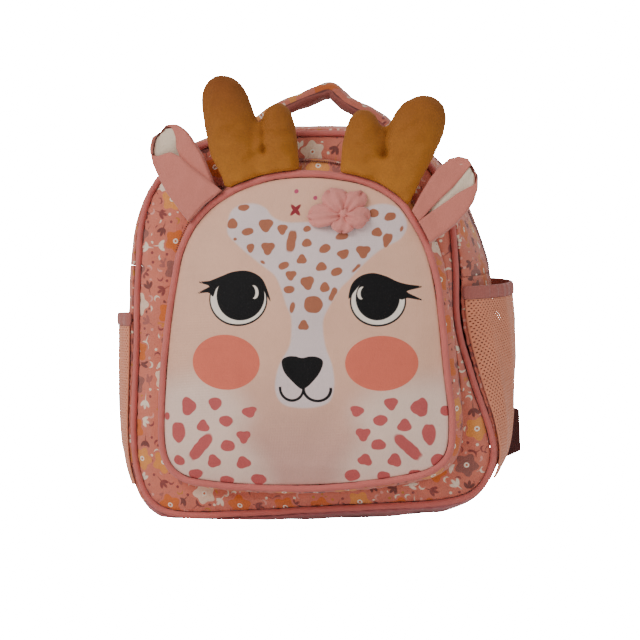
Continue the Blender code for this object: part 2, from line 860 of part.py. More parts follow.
def make_antlers(material):
    """Two antlers, each a beam and a tine sewn into the top of the pocket seam."""
    block = seam_block()
    antlers = {
        "antler_left": (LEFT_BEAM, LEFT_TINE),
        "antler_right": (RIGHT_BEAM, RIGHT_TINE),
    }
    for name, (beam_rows, tine_rows) in antlers.items():
        beam = lobe(name, beam_rows, material, PARTS)
        tine = lobe(name + "_tine_shape", tine_rows, material, CUTTERS)
        combine(beam, tine, "UNION")
        combine(beam, block, "DIFFERENCE")


def ear_place(seat, lean):
    """How an ear's across and along lie in X and Z: it follows the pocket seam at its foot."""
    length = curve_length(POCKET)
    tip = np.array([math.sin(lean), math.cos(lean)])
    clear = POCKET_PIPING_RADIUS + 2.0 * GAP

    def place(across, along):
        foot = moved_out(POCKET, seat + across / length, clear)
        return foot + np.asarray(along)[..., None] * tip

    return place


def ear_row(half_width, left_flap, right_flap, depth):
    """Across and forward places of one row of a folded ear, from flap edge to flap edge."""
    fold = 0.5 * depth
    full = 0.94 * half_width
    return (
        (-half_width + left_flap, depth),
        (-full, depth),
        (-half_width, fold),
        (-full, 0.0),
        (0.0, 0.0),
        (full, 0.0),
        (half_width, fold),
        (full, depth),
        (half_width - right_flap, depth),
    )


def make_ear(name, rows, length, place, outer, lining):
    """An ear of cloth with its sides folded over its front, and the lining between them."""
    back_y = POCKET_Y + 0.5 * EAR_FOLD
    wall_rows = []
    lining_rows = []
    for along, width, left_flap, right_flap in rows:
        half = width * EAR_HALF_WIDTH
        depth = EAR_FOLD * (1.0 - 0.3 * along)
        spots = ear_row(half, left_flap * EAR_HALF_WIDTH, right_flap * EAR_HALF_WIDTH, depth)
        across = np.array([spot[0] for spot in spots])
        forward = np.array([spot[1] for spot in spots])
        plane = place(across, np.full(len(spots), along * length))
        wall_rows.append(loop_at(plane, back_y - forward))
        inner = np.array([-1.0, 0.0, 1.0]) * (half - 2.0 * EAR_CLOTH)
        plane = place(inner, np.full(3, along * (length - 2.0 * EAR_CLOTH)))
        lining_rows.append(loop_at(plane, back_y - EAR_CLOTH - GAP - LINING))
    middle = place(np.zeros(1), np.full(1, 0.5 * length))[0]
    core = (middle[0], back_y - 0.3 * EAR_FOLD, middle[1])
    panel("ear_" + name, wall_rows, EAR_CLOTH, outer, inside=core)
    behind = (middle[0], back_y + length, middle[1])
    panel("ear_lining_" + name, lining_rows, LINING, lining, inside=behind)


def petal_sections(turn, length, half_spacing):
    """Sections of one puffed petal that lies on the face, from the gather to its tip."""
    base_y = face_depth(FLOWER_ACROSS, FLOWER_UP) - 2.0 * GAP
    across_step = 0.004
    slope_x = (face_depth(FLOWER_ACROSS + across_step, FLOWER_UP) - base_y - 2.0 * GAP) / across_step
    slope_z = (face_depth(FLOWER_ACROSS, FLOWER_UP + across_step) - base_y - 2.0 * GAP) / across_step
    long_way = np.array([math.cos(turn), math.sin(turn)])
    wide_way = np.array([-math.sin(turn), math.cos(turn)])
    turns = np.linspace(0.0, math.pi, 6)
    sections = []
    for along, width, loft in PETAL_ROWS:
        reach = along * length * FLOWER_RADIUS
        room = reach * math.sin(half_spacing) - GAP
        half = min(0.5 * PETAL_WIDTH * width, room)
        side = half * np.cos(turns)
        rise = PETAL_LOFT * loft * np.sin(turns)
        x = FLOWER_ACROSS + reach * long_way[0] + side * wide_way[0]
        z = FLOWER_UP + reach * long_way[1] + side * wide_way[1]
        skin = base_y + slope_x * (x - FLOWER_ACROSS) + slope_z * (z - FLOWER_UP)
        sections.append(np.stack([x, skin - rise, z], axis=-1))
    return sections


def make_flower(material):
    """Petals gathered round a small stuffed centre, on the forehead."""
    turns = [turn for turn, _ in PETALS]
    for number, (turn, length) in enumerate(PETALS):
        gaps = [abs(math.remainder(turn - other, math.tau)) for other in turns if other != turn]
        sections = petal_sections(turn, length, min(gaps) / 2.0)
        lofted("flower_petal_%d" % (number + 1), sections, material)
    along, width, _ = PETAL_ROWS[0]
    radius = 0.72 * FLOWER_RADIUS * along * width
    centre_y = face_depth(FLOWER_ACROSS, FLOWER_UP) - PETAL_LOFT * 0.5
    made = bmesh.new()
    bmesh.ops.create_uvsphere(made, u_segments=10, v_segments=6, radius=radius)
    for vertex in made.verts:
        vertex.co.y = vertex.co.y * (PETAL_LOFT * 0.5 - 2.0 * GAP) / radius + centre_y
        vertex.co.x += FLOWER_ACROSS
        vertex.co.z += FLOWER_UP
    mesh = bpy.data.meshes.new("flower_centre")
    made.to_mesh(mesh)
    made.free()
    mesh.materials.append(material)
    mesh.shade_smooth()
    collection(PARTS).objects.link(bpy.data.objects.new("flower_centre", mesh))


def top_height(across, depth):
    """Height of the gusset's skin over a place near the middle of the top."""
    shares = np.linspace(0.10, -0.10, 81)
    skin = gusset_surface(shares, np.full(len(shares), depth * 2.0 / BODY_DEPTH))
    return float(np.interp(across, skin[:, 0], skin[:, 2]))


def make_handle(material):
    """Padded carry handle from seam to seam over the top, with its worn kink."""
    table = np.array(HANDLE_LINE)
    foot = top_height(0.0, HANDLE_BEHIND_CREST)
    x = table[:, 0] * HANDLE_HALF_SPAN
    z = foot + table[:, 1] * HANDLE_RISE
    run = np.stack([np.gradient(x), np.gradient(z)], axis=-1)
    run = run / np.linalg.norm(run, axis=-1, keepdims=True)
    turns = (np.arange(8) + 0.5) * math.tau / 8
    sections = []
    for i in range(len(x)):
        thin = 0.5 * HANDLE_THICKNESS * np.cos(turns)
        section_x = x[i] - thin * run[i, 1]
        section_z = z[i] + thin * run[i, 0]
        section_y = HANDLE_BEHIND_CREST + 0.5 * HANDLE_WIDTH * np.sin(turns)
        sections.append(np.stack([section_x, section_y, section_z], axis=-1))
    for end in (0, -1):
        for corner in sections[end]:
            corner[2] = top_height(corner[0], corner[1]) + GAP
    lofted("carry_handle", sections, material)


def mesh_points(shares, stand):
    """Outer skin of a side pocket: it leaves both seams close to the gusset and stands off between."""
    stations = np.array(MESH_STATIONS)[None, :]
    clear = MESH + MESH_CLEARANCE
    lift = clear + stand * swell_profile(stations)
    return gusset_surface(shares[:, None], stations, lift)


def make_mesh_pocket(name, side, foot, top, stand, cloth, binding_cloth):
    """A pocket of mesh on one side of the body, open at its bound top."""
    table = np.array(MESH_ROWS)
    foot_share = share_at_height(foot, side)
    top_share = share_at_height(top, side)
    shares = foot_share + (top_share - foot_share) * table[:, 0]
    grid = mesh_points(shares, (stand * table[:, 1])[:, None])
    panel("mesh_pocket_" + name, grid, MESH, cloth)
    length = curve_length(FRONT)
    toward_top = math.copysign(1.0, top_share - foot_share)
    start = top_share + toward_top * GAP / length
    edges = np.array([start, start + toward_top * BINDING_HEIGHT / length])
    extra = (BINDING_THICKNESS - MESH) / 2.0
    outer = mesh_points(edges, np.full((2, 1), stand))
    out = outward_vectors(FRONT, edges)[:, None, :]
    face = outer + extra * out
    back = outer + (extra - BINDING_THICKNESS) * out
    sections = np.stack([face[0], face[1], back[1], back[0]], axis=1)
    lofted("mesh_binding_" + name, sections, binding_cloth)


def strap_line(side):
    """Middle line of a shoulder strap, from its top to its lower end, with its table."""
    table = np.array(STRAP_ROWS)
    across = side * (STRAP_TOP_ACROSS + (STRAP_BOTTOM_ACROSS - STRAP_TOP_ACROSS) * table[:, 1])
    up = STRAP_TOP + (STRAP_BOTTOM - STRAP_TOP) * table[:, 0]
    rest = BACK_Y + BACK_CROWN + 2.0 * GAP + 0.5 * STRAP_THICKNESS * table[:, 4]
    return np.stack([across, rest + table[:, 2] * STRAP_ARCH, up], axis=-1), table


def wide_way(run):
    """The direction square to the run that lies flat against the back."""
    side = np.cross(run, np.array([0.0, 1.0, 0.0]))
    return side / np.linalg.norm(side)


def ribbon(name, line, half_widths, half_thicknesses, material):
    """A strap or webbing through the line, lying flat to the back and with eased edges."""
    run = np.gradient(line, axis=0)
    run = run / np.linalg.norm(run, axis=-1, keepdims=True)
    top_edge = ((-1.0, 0.4), (-0.9, 1.0), (0.9, 1.0), (1.0, 0.4))
    outline = top_edge + tuple((-a, -b) for a, b in top_edge)
    sections = []
    for i in range(len(line)):
        wide = wide_way(run[i])
        thick = np.cross(wide, run[i])
        section = [line[i] + a * half_widths[i] * wide + b * half_thicknesses[i] * thick for a, b in outline]
        sections.append(np.array(section))
    return lofted(name, sections, material)


def make_ladder_lock(name, centre, down, plastic):
    """The plastic lock at a strap's lower end, a plate with two slots for webbing."""
    size = (LOCK_LENGTH, LOCK_WIDTH, LOCK_THICKNESS)
    side = wide_way(down)
    lock = placed_box("ladder_lock_" + name, centre, down, side, size, plastic)
    for step in (-0.22, 0.22):
        slot_centre = centre + down * step * LOCK_LENGTH
        slot_size = (LOCK_SLOT, LOCK_WIDTH * 0.78, LOCK_THICKNESS * 2.0)
        slot = placed_box("slot_shape", slot_centre, down, side, slot_size, plastic, CUTTERS)
        combine(lock, slot, "DIFFERENCE")


def make_wing_tab(name, root, out, cloth):
    """The tab sewn in the back seam low on the side, which carries the webbing."""
    along_seam = np.array([-out[1], out[0]])
    sections = []
    for reach_share, height in ((0.0, 1.0), (0.5, 0.9), (1.0, 0.72)):
        middle = root + out * (PANEL_EDGE + TAB_REACH * reach_share)
        half = 0.5 * TAB_HEIGHT * height
        corners = []
        for way, depth in ((-1.0, -0.5), (1.0, -0.5), (1.0, 0.5), (-1.0, 0.5)):
            plane = middle + along_seam * way * half
            corners.append((plane[0], BACK_Y + depth * TAB_THICKNESS, plane[1]))
        sections.append(np.array(corners))
    lofted("wing_tab_" + name, sections, cloth)


def make_strap(name, side, cloth, webbing_cloth, plastic):
    """Padded strap, the lock at its lower end, the tab in the side seam and the webbing between."""
    line, table = strap_line(side)
    widths = 0.5 * STRAP_WIDTH * table[:, 3]
    ribbon("strap_" + name, line, widths, 0.5 * STRAP_THICKNESS * table[:, 4], cloth)
    down = line[-1] - line[-2]
    down = down / np.linalg.norm(down)
    lock_centre = line[-1] + down * (LOCK_LENGTH / 2.0 + GAP)
    make_ladder_lock(name, lock_centre, down, plastic)
    share = np.array([share_at_height(TAB_UP, side)])
    root = at_shares(BACK, share)[0, :2]
    out = outward(BACK, share)[0]
    make_wing_tab(name, root, out, webbing_cloth)
    tab_y = BACK_Y + 0.5 * (TAB_THICKNESS + WEBBING_THICKNESS) + GAP
    on_tab = root + out * TAB_REACH * 0.65
    tab_end = root + out * (PANEL_EDGE + TAB_REACH * 0.9)
    start = lock_centre + down * (LOCK_LENGTH / 2.0 + GAP)
    below = start + down * WEBBING_WIDTH * 0.5
    at_tab = np.array([on_tab[0], tab_y, on_tab[1]])
    end = np.array([tab_end[0], tab_y, tab_end[1]])
    over_y = BACK_Y + PIPING_RADIUS + 2.5 * WEBBING_THICKNESS
    over = np.array([root[0], over_y, root[1]]) + 0.12 * (below - at_tab) * np.array([1.0, 0.0, 1.0])
    middle = 0.5 * (below + over)
    path = np.array([start, below, middle, over, at_tab, end])
    flat = np.full(len(path), 0.5 * WEBBING_THICKNESS)
    wide = np.full(len(path), 0.5 * WEBBING_WIDTH)
    ribbon("webbing_" + name, path, wide, flat, webbing_cloth)


def build():
    """Make every piece of the backpack."""
    clear_scene()
    print_cloth = cloth_material("floral_print", PRINT)
    plain_cloth = cloth_material("plain_pink_cloth", PLAIN_PINK)
    piping_cloth = cloth_material("piping_cloth", PIPING_PINK)
    face_cloth = cloth_material("face_print", FACE)
    felt = cloth_material("mustard_felt", MUSTARD, 0.95)
    cream = cloth_material("cream_lining", CREAM)
    flower_cloth = cloth_material("flower_cloth", FLOWER_PINK)
    mesh_cloth = cloth_material("peach_mesh", MESH_PEACH)
    binding_cloth = cloth_material("brown_binding", BINDING_BROWN)
    maroon_cloth = cloth_material("maroon_webbing", MAROON)
    zip_plastic = cloth_material("zip_plastic", BINDING_BROWN, 0.45)
    lock_plastic = cloth_material("lock_plastic", MAROON, 0.40)
    make_front_panel(print_cloth)
    make_back_panel(maroon_cloth)
    make_gusset_base(print_cloth)
    make_gusset_top(print_cloth)
    make_main_zip(zip_plastic)
    make_zip_slider(zip_plastic)
    make_pipings(piping_cloth)
    make_pocket_gusset(plain_cloth)
    make_pocket_zip(zip_plastic)
    make_pocket_face(face_cloth)
    make_antlers(felt)
    left_place = ear_place(LEFT_EAR_SEAT, -LEFT_EAR_LEAN)
    right_place = ear_place(RIGHT_EAR_SEAT, RIGHT_EAR_LEAN)
    make_ear("left", LEFT_EAR, LEFT_EAR_LENGTH, left_place, plain_cloth, cream)
    make_ear("right", RIGHT_EAR, RIGHT_EAR_LENGTH, right_place, plain_cloth, cream)
    make_flower(flower_cloth)
    make_handle(print_cloth)
    left = (-1, MESH_FOOT_LEFT, MESH_TOP_LEFT, MESH_STAND_LEFT)
    right = (1, MESH_FOOT_RIGHT, MESH_TOP_RIGHT, MESH_STAND_RIGHT)
    make_mesh_pocket("left", *left, mesh_cloth, binding_cloth)
    make_mesh_pocket("right", *right, mesh_cloth, binding_cloth)
    make_strap("left", -1, maroon_cloth, maroon_cloth, lock_plastic)
    make_strap("right", 1, maroon_cloth, maroon_cloth, lock_plastic)


build()
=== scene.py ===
# %% [markdown]
# A small backpack with a fawn's face. The real one is cut from printed polyester, piped along
# its seams, with stuffed antlers, folded ears and two side pockets of air mesh. The packed
# solids give every piece its place; this lesson dresses them, one piece at a time.

# %% Load the frame
import math

import bmesh
import bpy
import numpy as np
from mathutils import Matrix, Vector


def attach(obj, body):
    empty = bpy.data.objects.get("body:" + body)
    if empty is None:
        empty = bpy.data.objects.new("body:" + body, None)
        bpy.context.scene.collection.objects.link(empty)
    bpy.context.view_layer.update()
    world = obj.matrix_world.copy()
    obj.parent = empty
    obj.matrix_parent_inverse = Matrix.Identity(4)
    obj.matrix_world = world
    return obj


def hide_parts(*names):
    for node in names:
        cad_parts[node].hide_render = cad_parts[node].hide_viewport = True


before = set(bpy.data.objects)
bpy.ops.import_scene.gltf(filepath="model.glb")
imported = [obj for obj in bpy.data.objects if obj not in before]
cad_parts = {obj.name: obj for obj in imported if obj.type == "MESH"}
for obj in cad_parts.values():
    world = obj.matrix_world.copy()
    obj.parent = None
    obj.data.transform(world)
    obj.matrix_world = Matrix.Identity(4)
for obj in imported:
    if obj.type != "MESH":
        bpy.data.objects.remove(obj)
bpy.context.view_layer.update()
print("loaded", len(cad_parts), "solids")

# %% [markdown]
# The camera stands a little to the right of the bag and just above its middle, about 1.25 m
# away, as someone does who photographs a bag on the floor. The light is soft: one big window
# to the left in front, a weaker fill on the right, and a pale floor that gives light back.

# %% Camera
AIM = np.array([0.014, -0.050, 0.156])
DISTANCE = 1.25
AZIMUTH = math.radians(10.0)
ELEVATION = math.radians(2.5)

back_way = np.array([
    math.sin(AZIMUTH) * math.cos(ELEVATION),
    -math.cos(AZIMUTH) * math.cos(ELEVATION),
    math.sin(ELEVATION),
])
lens_data = bpy.data.cameras.new("photo_camera")
lens_data.sensor_width = 36.0
lens_data.lens = 92.1
camera = bpy.data.objects.new("photo_camera", lens_data)
bpy.context.scene.collection.objects.link(camera)
camera.location = AIM + back_way * DISTANCE
camera.rotation_mode = "QUATERNION"
camera.rotation_quaternion = Vector(-back_way).to_track_quat("-Z", "Y")
bpy.context.scene.camera = camera
print("camera at", np.round(np.array(camera.location), 3))

# %% Lights and sky
LIGHTS = (
    # name, place in metres, size in metres, watts
    ("window", (-1.1, -1.5, 1.3), 1.1, 27.5),
    ("fill", (1.5, -1.1, 0.7), 1.4, 6.0),
    ("behind", (0.3, 1.4, 1.5), 1.2, 8.0),
)
for name, place, size, watts in LIGHTS:
    lamp = bpy.data.lights.new(name, "AREA")
    lamp.energy = watts
    lamp.size = size
    holder = bpy.data.objects.new(name, lamp)
    holder.location = place
    way = Vector((0.0, 0.0, 0.16)) - Vector(place)
    holder.rotation_mode = "QUATERNION"
    holder.rotation_quaternion = way.to_track_quat("-Z", "Y")
    bpy.context.scene.collection.objects.link(holder)
sky = bpy.data.worlds.new("pale_room")
sky.use_nodes = True
sky.node_tree.nodes["Background"].inputs["Color"].default_value = (1.0, 0.97, 0.94, 1.0)
sky.node_tree.nodes["Background"].inputs["Strength"].default_value = 0.40
bpy.context.scene.world = sky
print("lights:", ", ".join(row[0] for row in LIGHTS))


# %% [markdown]
# Every material below is a small tree of nodes, so a few tools come first. One turns a colour
# given in hex into the linear value that light is worked out in. One adds a node with its
# settings and links in a single line, and the others name what is done most often.

# %% Tools for materials
def linear(hex_colour):
    """sRGB hex to linear: c / 12.92 up to 0.04045, and ((c + 0.055) / 1.055) ** 2.4 above it."""
    parts = np.array([int(hex_colour[i:i + 2], 16) for i in (1, 3, 5)]) / 255.0
    toe = parts / 12.92
    curve = ((parts + 0.055) / 1.055) ** 2.4
    return (*[float(c) for c in np.where(parts <= 0.04045, toe, curve)], 1.0)


def add(tree, kind, inputs=None, **settings):
    """Adds one shader node, with its settings, and with a value or a link for each input."""
    node = tree.nodes.new("ShaderNode" + kind)
    for key, value in settings.items():
        setattr(node, key, value)
    for key, value in (inputs or {}).items():
        if isinstance(value, bpy.types.NodeSocket):
            tree.links.new(value, node.inputs[key])
        else:
            node.inputs[key].default_value = value
    return node


def start_material(name, roughness, sheen=0.0, coat=0.0):
    """An empty cloth or plastic: its tree and its Principled shader."""
    made = bpy.data.materials.new(name)
    made.use_nodes = True
    shader = made.node_tree.nodes["Principled BSDF"]
    shader.inputs["Roughness"].default_value = roughness
    shader.inputs["Sheen Weight"].default_value = sheen
    shader.inputs["Sheen Roughness"].default_value = 0.55
    shader.inputs["Coat Weight"].default_value = coat
    return made, made.node_tree, shader


def calc(tree, operation, *values):
    """One sum on numbers or sockets."""
    return add(tree, "Math", dict(enumerate(values)), operation=operation).outputs[0]


def stored(tree, key, output="Fac"):
    """What the mesh stores under a name: a number, or a vector where that is asked."""
    return add(tree, "Attribute", attribute_name=key).outputs[output]


def ramp(tree, factor, stops, interpolation="LINEAR"):
    """A colour for each number: a stop is the number where its colour is, and the colour."""
    made = add(tree, "ValToRGB", {"Fac": factor})
    made.color_ramp.interpolation = interpolation
    marks = made.color_ramp.elements
    for number, (position, hex_colour) in enumerate(stops):
        stop = marks[number] if number < 2 else marks.new(position)
        stop.position = position
        stop.color = linear(hex_colour)
    return made.outputs["Color"]


def sheet(name, points, faces, marks=None, turned_out=False):
    """An object in the scene from points and faces, smooth, with numbers or vectors stored on
    its points. Where asked, its faces are turned outwards."""
    mesh = bpy.data.meshes.new(name)
    mesh.from_pydata(np.asarray(points).tolist(), [], faces)
    mesh.polygons.foreach_set("use_smooth", np.ones(len(mesh.polygons), dtype=bool))
    for key, values in (marks or {}).items():
        kind, field = ("FLOAT_VECTOR", "vector") if values.ndim == 2 else ("FLOAT", "value")
        mesh.attributes.new(key, kind, "POINT").data.foreach_set(field, values.ravel())
    if turned_out:
        net = bmesh.new()
        net.from_mesh(mesh)
        bmesh.ops.recalc_face_normals(net, faces=net.faces)
        net.to_mesh(mesh)
        net.free()
    made = bpy.data.objects.new(name, mesh)
    bpy.context.scene.collection.objects.link(made)
    return made


floor_finish, tree, shader = start_material("matt_paper", 0.9)
grain = add(tree, "TexNoise", {"Scale": 6.0, "Detail": 3.0}).outputs["Fac"]
tree.links.new(ramp(tree, grain, ((0.0, "#f8f8f8"), (1.0, "#fcfcfc"))), shader.inputs["Base Color"])
# The paper is lit from behind for the camera only, so that it is seen white and lights nothing
PAPER_GLOW = 40.0
seen = add(tree, "LightPath").outputs["Is Camera Ray"]
shader.inputs["Emission Color"].default_value = (1.0, 1.0, 1.0, 1.0)
tree.links.new(calc(tree, "MULTIPLY", seen, PAPER_GLOW), shader.inputs["Emission Strength"])
bend = np.linspace(0.0, math.pi / 2.0, 24)
profile = [(-4.0, 0.0)] + [(1.3 + 0.9 * math.sin(a), 0.9 - 0.9 * math.cos(a)) for a in bend] + [(2.2, 4.0)]
floor_points = [(x, y, z) for y, z in profile for x in (-5.0, 5.0)]
floor_faces = [(2 * i, 2 * i + 1, 2 * i + 3, 2 * i + 2) for i in range(len(profile) - 1)]
floor = sheet("floor", floor_points, floor_faces)
floor.data.materials.append(floor_finish)
print("paper backdrop laid")

# %% [markdown]
# A bag is drawn by its seams. The front seam, the back seam and the seam round the pocket's
# face are closed curves in X and Z, set by short tables of shares of the bag's sizes, the same
# as the solids have. All other surfaces hang between these three curves.

# %% Seam tables
HALF_WIDTH = 0.140
HEIGHT = 0.298
DEPTH = 0.100
SWELL = 0.020
FRONT_CROWN = 0.013
CLOTH = 0.0016
PIPING = 0.0025
GAP = 0.0003
SEAM_STEP = 0.0022
BODY_OUTLINE = (
    # across in half widths, up in heights, swell of the side there
    (0.00, 1.000, 0.42), (-0.34, 0.995, 0.42), (-0.61, 0.960, 0.50), (-0.81, 0.880, 0.45),
    (-0.90, 0.780, 0.68), (-0.93, 0.620, 0.88), (-0.94, 0.420, 0.76), (-0.955, 0.220, 0.62),
    (-0.93, 0.115, 0.66), (-0.85, 0.040, 0.70), (-0.68, 0.012, 0.85), (-0.30, 0.020, 0.80),
    (0.10, 0.036, 0.64), (0.50, 0.050, 0.58), (0.80, 0.064, 0.46), (0.96, 0.095, 0.24),
    (1.045, 0.170, 0.28), (1.02, 0.260, 0.52), (0.93, 0.380, 0.85), (0.85, 0.520, 1.00),
    (0.84, 0.660, 0.82), (0.81, 0.790, 0.30), (0.74, 0.885, 0.17), (0.60, 0.955, 0.22),
    (0.34, 0.993, 0.42),
)
POCKET_HALF_WIDTH = 0.110
POCKET_HEIGHT = 0.236
POCKET_FOOT = 0.030
POCKET_SHIFT = 0.006
POCKET_DEPTH = 0.028
POCKET_CROWN = 0.022
POCKET_FLARE = 0.006
POCKET_PIPING = 0.0026
POCKET_OUTLINE = (
    # across in pocket half widths, up in pocket heights
    (-0.02, 1.000), (-0.23, 0.990), (-0.44, 0.960), (-0.62, 0.912), (-0.76, 0.845),
    (-0.85, 0.765), (-0.90, 0.670), (-0.955, 0.500), (-0.990, 0.310), (-1.000, 0.170),
    (-0.965, 0.080), (-0.855, 0.028), (-0.655, 0.008), (-0.33, 0.000), (0.04, 0.003),
    (0.40, 0.018), (0.72, 0.044), (0.90, 0.072), (1.00, 0.130), (1.018, 0.235),
    (0.98, 0.400), (0.935, 0.600), (0.875, 0.735), (0.79, 0.825), (0.65, 0.915),
    (0.45, 0.970), (0.20, 0.995),
)


# %% Seam curves
def spans(before, here, after, beyond, steps):
    """Catmull-Rom: each span is the cubic that passes through its two knots, here and after,
    with slopes taken from their neighbours."""
    t = (np.arange(steps) / steps)[None, :, None]
    bend = 2.0 * before - 5.0 * here + 4.0 * after - beyond
    twist = 3.0 * here - before - 3.0 * after + beyond
    dense = 0.5 * (2.0 * here + (after - before) * t + bend * t**2 + twist * t**3)
    return dense.reshape(-1, here.shape[-1])


def smooth_loop(rows, steps=12):
    """A closed smooth curve through the rows."""
    knots = np.array(rows, dtype=float)
    before, after, beyond = (np.roll(knots, step, axis=0)[:, None] for step in (1, -1, -2))
    return spans(before, knots[:, None], after, beyond, steps)


def at_shares(curve, shares):
    """Places on a closed curve at shares of its length, found by running distance."""
    closed = np.vstack([curve, curve[:1]])
    steps = np.linalg.norm(np.diff(closed[:, :2], axis=0), axis=1)
    run = np.concatenate([[0.0], np.cumsum(steps)])
    where = np.mod(shares, 1.0) * run[-1]
    return np.stack([np.interp(where, run, column) for column in closed.T], axis=-1)


def outward(curve, shares):
    """Unit normals: the chord between two near points, turned a quarter turn outwards."""
    reach = 0.006
    chord = at_shares(curve, shares + reach)[..., :2] - at_shares(curve, shares - reach)[..., :2]
    chord = chord / np.linalg.norm(chord, axis=-1, keepdims=True)
    return np.stack([chord[..., 1], -chord[..., 0]], axis=-1)


FRONT = smooth_loop(np.array(BODY_OUTLINE) * np.array([HALF_WIDTH, HEIGHT, SWELL]))
turns_round = np.arange(len(FRONT)) / len(FRONT)
mirrored = at_shares(FRONT, -turns_round) * np.array([-1.0, 1.0, 1.0])
BACK = 0.5 * (at_shares(FRONT, turns_round) + mirrored)
pocket_rows = np.array(POCKET_OUTLINE) * np.array([POCKET_HALF_WIDTH, POCKET_HEIGHT])
POCKET = smooth_loop(pocket_rows + np.array([POCKET_SHIFT, POCKET_FOOT]))
FRONT_Y, BACK_Y = -DEPTH / 2.0, DEPTH / 2.0
POCKET_Y = FRONT_Y - POCKET_DEPTH
FRONT_LENGTH = float(np.linalg.norm(np.diff(np.vstack([FRONT, FRONT[:1]])[:, :2], axis=0), axis=1).sum())
POCKET_LENGTH = float(np.linalg.norm(np.diff(np.vstack([POCKET, POCKET[:1]]), axis=0), axis=1).sum())
print("seams: body %.0f mm, pocket %.0f mm" % (FRONT_LENGTH * 1000, POCKET_LENGTH * 1000))

# %% [markdown]
# Nearly every piece of a bag is a closed section carried along a path: a strip of cloth is a
# thin loop carried round the body, a panel is a ring that shrinks to a point, a strap is a
# flat oval. One function therefore makes them all, from a grid of points worked out at once.
# Cloth is never smooth, so two more give it folds and a faint unevenness.


# %% Tools for surfaces
def skin(name, sections, marks):
    """Closed mesh through a grid of closed sections: quads between neighbours and a fan over
    each end. If its volume, the sum of a . (b x c) / 6, is negative, its faces are turned."""
    sections = np.asarray(sections, dtype=float)
    rows, columns = sections.shape[:2]
    points = np.vstack([sections.reshape(-1, 3), sections[0].mean(axis=0), sections[-1].mean(axis=0)])
    start = np.arange(rows - 1)[:, None] * columns
    here, after = np.arange(columns), (np.arange(columns) + 1) % columns
    quads = np.stack([start + here, start + after, start + columns + after, start + columns + here], -1)
    quads = quads.reshape(-1, 4)
    hub = rows * columns
    last = (rows - 1) * columns
    first_fan = np.stack([after, here, np.full(columns, hub)], -1)
    last_fan = np.stack([last + here, last + after, np.full(columns, hub + 1)], -1)
    corners = np.vstack([quads[:, [0, 1, 2]], quads[:, [0, 2, 3]], first_fan, last_fan])
    a, b, c = points[corners[:, 0]], points[corners[:, 1]], points[corners[:, 2]]
    if np.einsum("ij,ij->i", a, np.cross(b, c)).sum() < 0.0:
        quads, first_fan, last_fan = quads[:, ::-1], first_fan[:, ::-1], last_fan[:, ::-1]
    faces = quads.tolist() + first_fan.tolist() + last_fan.tolist()
    return sheet(name, points, faces, {key: with_hubs(grid) for key, grid in marks.items()})


def with_hubs(grid):
    """A grid of numbers or vectors in the order of a skin's points; each end's hub takes its mean."""
    grid = np.asarray(grid, dtype=float)
    ends = np.stack([grid[0].mean(axis=0), grid[-1].mean(axis=0)])
    if grid.ndim == 3:
        return np.vstack([grid.reshape(-1, 3), ends])
    return np.concatenate([grid.ravel(), ends])


def ring_quads(rows, columns):
    """Quads of a net that closes on itself both ways: round its section and along its run."""
    start = (np.arange(rows) * columns)[:, None]
    ahead = np.roll(start, -1, axis=0)
    here, after = np.arange(columns)[None, :], (np.arange(columns)[None, :] + 1) % columns
    return np.stack([start + here, start + after, ahead + after, ahead + here], -1).reshape(-1, 4).tolist()


def folds(across, up, rows):
    """Sum of soft ridges, each height * exp(-(distance to its line / width) ** 2), in mm."""
    total = np.zeros(np.broadcast(across, up).shape)
    for from_x, from_z, to_x, to_z, width, height in rows:
        run = np.array([to_x - from_x, to_z - from_z])
        t = ((across - from_x) * run[0] + (up - from_z) * run[1]) / np.dot(run, run)
        t = np.clip(t, 0.0, 1.0)
        gap = np.hypot(across - from_x - t * run[0], up - from_z - t * run[1])
        total = total + height * np.exp(-(gap / width) ** 2)
    return total


def unevenness(points, size, seed):
    """Between -1 and 1: the mean of eight sine waves of about that size, in seeded ways."""
    chance = np.random.default_rng(seed)
    ways = chance.normal(size=(8, 3))
    ways = ways / np.linalg.norm(ways, axis=1, keepdims=True) * math.tau / size
    ways = ways * chance.uniform(0.6, 1.5, size=(8, 1))
    start = chance.uniform(0.0, math.tau, size=8)
    return np.sin(points @ ways.T + start).mean(axis=-1) * 1.8


def place_loop(plane, depth):
    """Points given in X and Z, put at one depth in Y or at a depth each."""
    depth = np.broadcast_to(depth, plane.shape[:-1])
    return np.stack([plane[..., 0], depth, plane[..., 1]], axis=-1)


def sew_in(piece, material, slot, *nodes):
    """Gives a piece its material and lets it stand for its solids; the slot is not used."""
    piece.data.materials.append(material)
    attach(piece, "root")
    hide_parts(*nodes)
    print(piece.name, len(piece.data.polygons), "faces")
    return piece


# %% [markdown]
# The bag's cloth is a plain-woven polyester, printed all over. A print is paint on yarn, so
# colour comes from the motifs and the relief from the weave. The motifs here are a ditsy
# floral of this lesson's own: daisies, leaf sprigs, crescents and dots, scattered by cells.
# Each cell gives a place and some chance; the motif is drawn round that place.


# %% Weave and scattered places
def weave_relief(tree, cloth, spacing, strength):
    """Bump of a plain weave: two sets of ribs whose period in mm is tau / (20 * scale)."""
    scale = math.tau / (20.0 * spacing)
    warp = add(tree, "TexWave", {"Vector": cloth, "Scale": scale}, bands_direction="X")
    weft = add(tree, "TexWave", {"Vector": cloth, "Scale": scale}, bands_direction="Y")
    cross = calc(tree, "MULTIPLY", warp.outputs["Fac"], weft.outputs["Fac"])
    slub = add(tree, "TexNoise", {"Vector": cloth, "Scale": 0.35, "Detail": 4.0})
    height = calc(tree, "ADD", cross, slub.outputs["Fac"])
    bump = add(tree, "Bump", {"Height": height, "Strength": strength, "Distance": 0.0004})
    return bump.outputs["Normal"]


